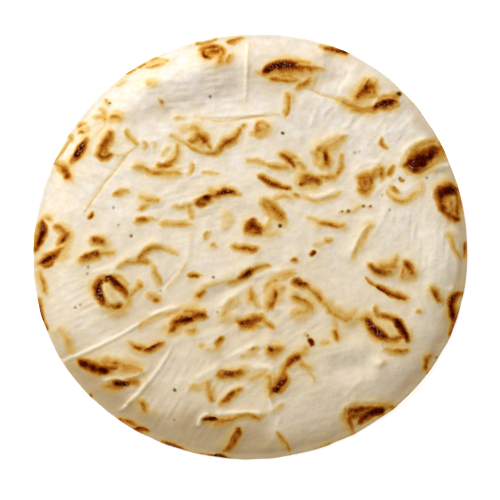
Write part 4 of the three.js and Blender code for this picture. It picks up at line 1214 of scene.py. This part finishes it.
def shape_top(top):
    """Points of the top, and for each how toasted it is, how brown with its own colour and painted shade,
    how light with paler dough, painted highlights and painted light, and how burnt.

    Its height is the lift plus the thickness, the swells and the small relief, which fades at the rim.
    """
    x, y, inset = top.x, top.y, top.inset
    toast, mound = browning(x, y, MARKS, TOP_SEED)
    creases = bands_at(x, y, CREASES)
    bumps = bells_at(x, y, BUMPS)
    relief = bands_at(x, y, FOLDS) + creases + bumps + mound + unevenness_at(x, y)
    thickness = RIM_THICK + (SHEET_THICK - RIM_THICK) * ease(LIP, THIN_WIDTH, inset)
    z = lift_at(inset, top.angle) + thickness + swell_at(x, y, inset)
    z += relief * ease(LIP, RELIEF_FADE, inset)
    tan_and_shade = tan_and_shade_at(x, y, inset, top.angle)
    # paleness: partly paler dough on crests, partly painted highlights on crests and bumps, and painted
    # light on patches
    pale_and_painted_light = ease(*CREST, creases + BUMP_HIGHLIGHT * bumps) + bells_at(x, y, PAINTED_LIGHT_PATCHES)
    return np.column_stack((x, y, z)), toast, tan_and_shade, pale_and_painted_light, specks_at(x, y)


def shape_rim(edge, angle):
    """Points of the rounded edge, on rings around a half circle of the lip's radius, and where they come
    to lie when it is unrolled flat: each point's distance from the middle, and its angle."""
    tilt = np.repeat(np.pi / 2 - np.pi * np.arange(1, RIM_STEPS + 1) / (RIM_STEPS + 1), RIM_POINTS)
    edge, angle = np.tile(edge, RIM_STEPS), np.tile(angle, RIM_STEPS)
    radius = edge - LIP * (1 - np.cos(tilt))
    z = lift_at(np.full_like(angle, LIP), angle) + LIP * (1 + np.sin(tilt))
    unrolled = LIP * (np.pi / 2 - tilt) + edge - LIP
    return np.column_stack((radius * np.cos(angle), radius * np.sin(angle), z)), unrolled, angle


def shape_under(under):
    """Points of the underside, and how toasted each is, and how brown with its own colour and painted
    shade.

    Its height is the lift plus a share of the swells and of the small relief, never below the floor.
    """
    x, y, inset = under.x, under.y, under.inset
    toast, mound = browning(x, y, random_marks(UNDER_MARKS, UNDER_MARKS_SEED), UNDER_SEED)
    relief = UNDER_SHARE * (bands_at(x, y, FOLDS) + unevenness_at(x, y)) - UNDER_RISE * mound
    z = lift_at(inset, under.angle) + UNDER_SHARE * swell_at(x, y, inset)
    z += relief * ease(RELIEF_FADE, SWELL_FADE, inset)
    return np.column_stack((x, y, np.maximum(z, 0))), toast, tan_and_shade_at(x, y, inset, under.angle)


def build_sheet():
    """The whole tortilla as one closed mesh: the top disc, a half-round rim and the underside disc."""
    top, under = Side(TOP_RINGS), Side(UNDER_RINGS)
    top_points, toast, tan_and_shade, pale_and_painted_light, burnt = shape_top(top)
    rim_points, unrolled, rim_angle = shape_rim(top.edge[-RIM_POINTS:], top.angle[-RIM_POINTS:])
    under_points, under_toast, under_tan_and_shade = shape_under(under)
    points = np.concatenate((top_points, rim_points, under_points))
    first_rim = len(top_points)
    first_under = first_rim + len(rim_points)
    upper_faces = np.concatenate((disc_faces(TOP_RINGS), edge_faces(first_rim, first_under)))
    under_faces = disc_faces(UNDER_RINGS)[:, ::-1] + first_under
    faces = np.concatenate((upper_faces, under_faces))

    mesh = bpy.data.meshes.new("tortilla_sheet")
    mesh.from_pydata((points * MM).tolist(), [], faces.tolist())
    mesh.polygons.foreach_set("use_smooth", np.ones(len(faces), dtype=bool))

    rim_toast = np.tile(toast[-RIM_POINTS:], RIM_STEPS)
    # the round edge takes a share of the light brown and painted shade
    rim_tan_and_shade = np.tile(EDGE_TAN_AND_SHADE * tan_and_shade[-RIM_POINTS:], RIM_STEPS)
    none_below = np.zeros(len(points) - first_rim)
    for name, values in (
        ("toast", np.concatenate((toast, rim_toast, under_toast))),
        ("tan_and_shade", np.concatenate((tan_and_shade, rim_tan_and_shade, under_tan_and_shade))),
        ("pale_and_painted_light", np.concatenate((pale_and_painted_light, none_below))),
        ("burnt", np.concatenate((burnt, none_below))),
    ):
        attribute = mesh.attributes.new(name, "FLOAT", "POINT")
        attribute.data.foreach_set("value", values.astype(np.float32))

    # The map for baking: the top with its rim unrolled around it, and the underside, as two discs
    seam = under.edge - LIP + np.pi * LIP
    reach = np.concatenate((top.radius, unrolled, np.where(under.ring == UNDER_RINGS, seam, under.radius)))
    turn = np.concatenate((top.angle, rim_angle, under.angle))
    upper_map = TOP_MAP[0] + TOP_MAP[1] * reach[:, None] * np.column_stack((np.cos(turn), np.sin(turn)))
    under_map = UNDER_MAP[0] + UNDER_MAP[1] * points[:, :2]
    corners = np.concatenate((upper_map[upper_faces.ravel()], under_map[under_faces.ravel()]))
    mesh.uv_layers.new(name="OFBake").data.foreach_set("uv", corners.astype(np.float32).ravel())

    mesh.validate()
    mesh.update()
    sheet = bpy.data.objects.new("tortilla_sheet", mesh)
    bpy.context.collection.objects.link(sheet)
    return sheet


def linear(red, green, blue):
    """A colour from 0 to 255, as it looks under the scene's bright light, as a share of light sent back.

    It is taken off the screen's usual curve, a short straight start and then a power of 2.4.
    """
    c = np.array((red, green, blue)) / 255
    light = np.where(c <= 0.04045, c / 12.92, ((c + 0.055) / 1.055) ** 2.4)
    return (*(light / BRIGHTNESS).tolist(), 1.0)


class Nodes:
    """Short ways to add shader nodes to a material and to wire them."""

    def __init__(self, material):
        material.use_nodes = True
        self.tree = material.node_tree
        self.shader = self.tree.nodes["Principled BSDF"]

    def add(self, kind, inputs=None, **settings):
        """A new node, with its settings and with what goes into its inputs."""
        node = self.tree.nodes.new(kind)
        for name, value in settings.items():
            setattr(node, name, value)
        for name, value in (inputs or {}).items():
            self.feed(node.inputs[name], value)
        return node

    def feed(self, socket, value):
        """Links a socket to another one, or sets it to a value."""
        if isinstance(value, bpy.types.NodeSocket):
            self.tree.links.new(value, socket)
        else:
            socket.default_value = value

    def attribute(self, name):
        """A value that the mesh holds at each point."""
        return self.add("ShaderNodeAttribute", attribute_name=name).outputs["Fac"]

    def noise(self, place, scale, detail, roughness):
        """Soft noise from 0 to 1."""
        inputs = {"Vector": place, "Scale": scale, "Detail": detail, "Roughness": roughness}
        return self.add("ShaderNodeTexNoise", inputs).outputs["Fac"]

    def spread(self, value, low, high, new_low=0.0, new_high=1.0):
        """value from low to high becomes new_low to new_high, held at both ends."""
        inputs = {"Value": value, "From Min": low, "From Max": high, "To Min": new_low, "To Max": new_high}
        return self.add("ShaderNodeMapRange", inputs).outputs["Result"]

    def mix(self, share, first, second):
        """The first colour, with a share of the second over it."""
        node = self.add("ShaderNodeMix", data_type="RGBA", blend_type="MIX")
        self.feed(node.inputs[MIX_SHARE], share)
        self.feed(node.inputs[MIX_FIRST], first)
        self.feed(node.inputs[MIX_SECOND], second)
        return node.outputs[MIX_RESULT]

    def math(self, operation, first, second):
        """Two values put together by an operation."""
        node = self.add("ShaderNodeMath", operation=operation)
        self.feed(node.inputs[0], first)
        self.feed(node.inputs[1], second)
        return node.outputs["Value"]


def dough_material():
    """Baked flour dough: cream with paler and browner blotches, golden to charred where it is toasted, with
    painted shade in light brown and warmer cream, painted highlights and light on crests and patches, and
    painted glints on charred marks.
    """
    material = bpy.data.materials.new("baked_dough")
    nodes = Nodes(material)
    place = nodes.add("ShaderNodeTexCoord").outputs["Object"]
    noises = {name: nodes.noise(place, *row) for name, row in DOUGH_NOISES.items()}
    toast = nodes.attribute("toast")
    burnt = nodes.attribute("burnt")

    dough = nodes.mix(nodes.spread(noises["tint"], *TINT_RANGE), linear(*COOL_CREAM), linear(*WARM_CREAM))
    for name, start, full, share, colour in DOUGH_LAYERS:
        dough = nodes.mix(nodes.spread(noises[name], start, full, 0, share), dough, linear(*colour))
    # painted shade: a warmer cream towards the near side, away from the light
    towards_far = nodes.add("ShaderNodeSeparateXYZ", {"Vector": place}).outputs["Y"]
    dough = nodes.mix(nodes.spread(towards_far, *NEAR_SHADE_SHARE), dough, linear(*NEAR_SHADE_COLOUR))

    grain_shade = nodes.spread(noises["grain"], *GRAIN_SHADE)
    patch_shade = nodes.spread(noises["patches"], *PATCH_SHADE)
    shade = nodes.math("MULTIPLY", toast, nodes.math("MULTIPLY", grain_shade, patch_shade))
    ramp = nodes.add("ShaderNodeValToRGB", {"Fac": shade})
    ramp.color_ramp.elements.remove(ramp.color_ramp.elements[1])
    ramp.color_ramp.elements[0].color = linear(*TOAST_COLOURS[0][1])
    for position, colour in TOAST_COLOURS[1:]:
        ramp.color_ramp.elements.new(position).color = linear(*colour)
    crust = nodes.mix(nodes.spread(shade, *CRUST_SHARE), dough, ramp.outputs["Color"])
    # light brown of its own, and painted shade in hollows, on the rim and on the near side
    tanned_and_shaded = nodes.math("MULTIPLY", nodes.attribute("tan_and_shade"), nodes.spread(shade, *TAN_AND_SHADE_SHARE))
    crust = nodes.mix(tanned_and_shaded, crust, linear(*TAN_AND_SHADE_COLOUR))
    # paler crests, and painted highlights and painted light on crests, bumps and patches
    blanched_and_lit = nodes.math("MULTIPLY", nodes.attribute("pale_and_painted_light"), nodes.spread(shade, *PALE_AND_LIGHT_SHARE))
    crust = nodes.mix(blanched_and_lit, crust, linear(*PALE_AND_LIGHT_COLOUR))

    # painted glints of light on charred marks
    glints = nodes.spread(noises["glints"], *GLINT_NOISE)
    glints = nodes.math("MULTIPLY", glints, nodes.spread(noises["blotches"], *GLINT_BLOTCHES))
    glints = nodes.math("MULTIPLY", glints, nodes.spread(toast, *GLINT_TOAST))
    crust = nodes.mix(glints, crust, linear(*GLINT_COLOUR))
    faint, dark = SPECK_COLOURS
    speck = nodes.mix(nodes.spread(burnt, *SPECK_DARKNESS), linear(*faint), linear(*dark))
    crust = nodes.mix(nodes.spread(burnt, *SPECK_SHARE), crust, speck)

    nodes.feed(nodes.shader.inputs["Base Color"], crust)
    nodes.feed(nodes.shader.inputs["Roughness"], nodes.spread(shade, *CRUST_ROUGHNESS))
    nodes.shader.inputs["Specular IOR Level"].default_value = CRUST_GLOSS
    patch_height = nodes.math("MULTIPLY", noises["patches"], PATCH_HEIGHT)
    grain_height = nodes.math("MULTIPLY", noises["grain"], GRAIN_HEIGHT)
    height = nodes.math("ADD", patch_height, grain_height)
    bump_inputs = {"Height": height, "Strength": BUMP_STRENGTH, "Distance": BUMP_DEPTH}
    bump = nodes.add("ShaderNodeBump", bump_inputs)
    nodes.feed(nodes.shader.inputs["Normal"], bump.outputs["Normal"])
    return material


def floor_material():
    """Plain white paper with a very faint tooth, which glows a little, so that shadows on it are faint."""
    material = bpy.data.materials.new("white_floor")
    nodes = Nodes(material)
    place = nodes.add("ShaderNodeTexCoord").outputs["Object"]
    tooth = nodes.noise(place, *FLOOR_TOOTH)
    nodes.feed(nodes.shader.inputs["Base Color"], nodes.mix(tooth, *FLOOR_WHITES))
    nodes.shader.inputs["Roughness"].default_value = FLOOR_ROUGHNESS
    nodes.shader.inputs["Specular IOR Level"].default_value = FLOOR_GLOSS
    nodes.shader.inputs["Emission Color"].default_value = WHITE
    nodes.shader.inputs["Emission Strength"].default_value = FLOOR_GLOW
    return material


def build_floor():
    """A flat square under the tortilla."""
    side = FLOOR_HALF
    mesh = bpy.data.meshes.new("floor")
    corners = [(-side, -side, 0), (side, -side, 0), (side, side, 0), (-side, side, 0)]
    mesh.from_pydata(corners, [], [(0, 1, 2, 3)])
    floor = bpy.data.objects.new("floor", mesh)
    floor.data.materials.append(floor_material())
    bpy.context.collection.objects.link(floor)
    return floor


def aim(obj, target):
    """Turns a light or camera so that it looks at target."""
    obj.rotation_euler = (Vector(target) - obj.location).to_track_quat("-Z", "Y").to_euler()


def set_the_light():
    """A soft key light from the upper left and an even white surround."""
    light = bpy.data.lights.new("key", "AREA")
    light.shape = "DISK"
    light.size = KEY_SIZE
    light.energy = KEY_POWER * BRIGHTNESS
    lamp = bpy.data.objects.new("key", light)
    lamp.location = KEY_PLACE
    bpy.context.collection.objects.link(lamp)
    aim(lamp, (0, 0, 0))
    world = bpy.data.worlds.new("surround")
    world.use_nodes = True
    background = world.node_tree.nodes["Background"]
    background.inputs["Color"].default_value = WHITE
    background.inputs["Strength"].default_value = SURROUND_POWER * BRIGHTNESS
    bpy.context.scene.world = world
    bpy.context.scene.view_settings.view_transform = "Standard"


def set_the_camera():
    """The photograph's view: from the front, looking steeply down."""
    target = Vector(VIEW_TARGET) * MM
    rise = np.radians(VIEW_ELEVATION)
    camera_data = bpy.data.cameras.new("camera")
    camera_data.lens = LENS_MM
    camera_data.sensor_width = SENSOR_MM
    camera = bpy.data.objects.new("camera", camera_data)
    camera.location = target + Vector((0, -np.cos(rise), np.sin(rise))) * VIEW_DISTANCE * MM
    bpy.context.collection.objects.link(camera)
    aim(camera, target)
    bpy.context.scene.camera = camera


sheet = build_sheet()
sheet.data.materials.append(dough_material())
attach(sheet, "root")
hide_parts("tortilla")
build_floor()
set_the_light()
set_the_camera()
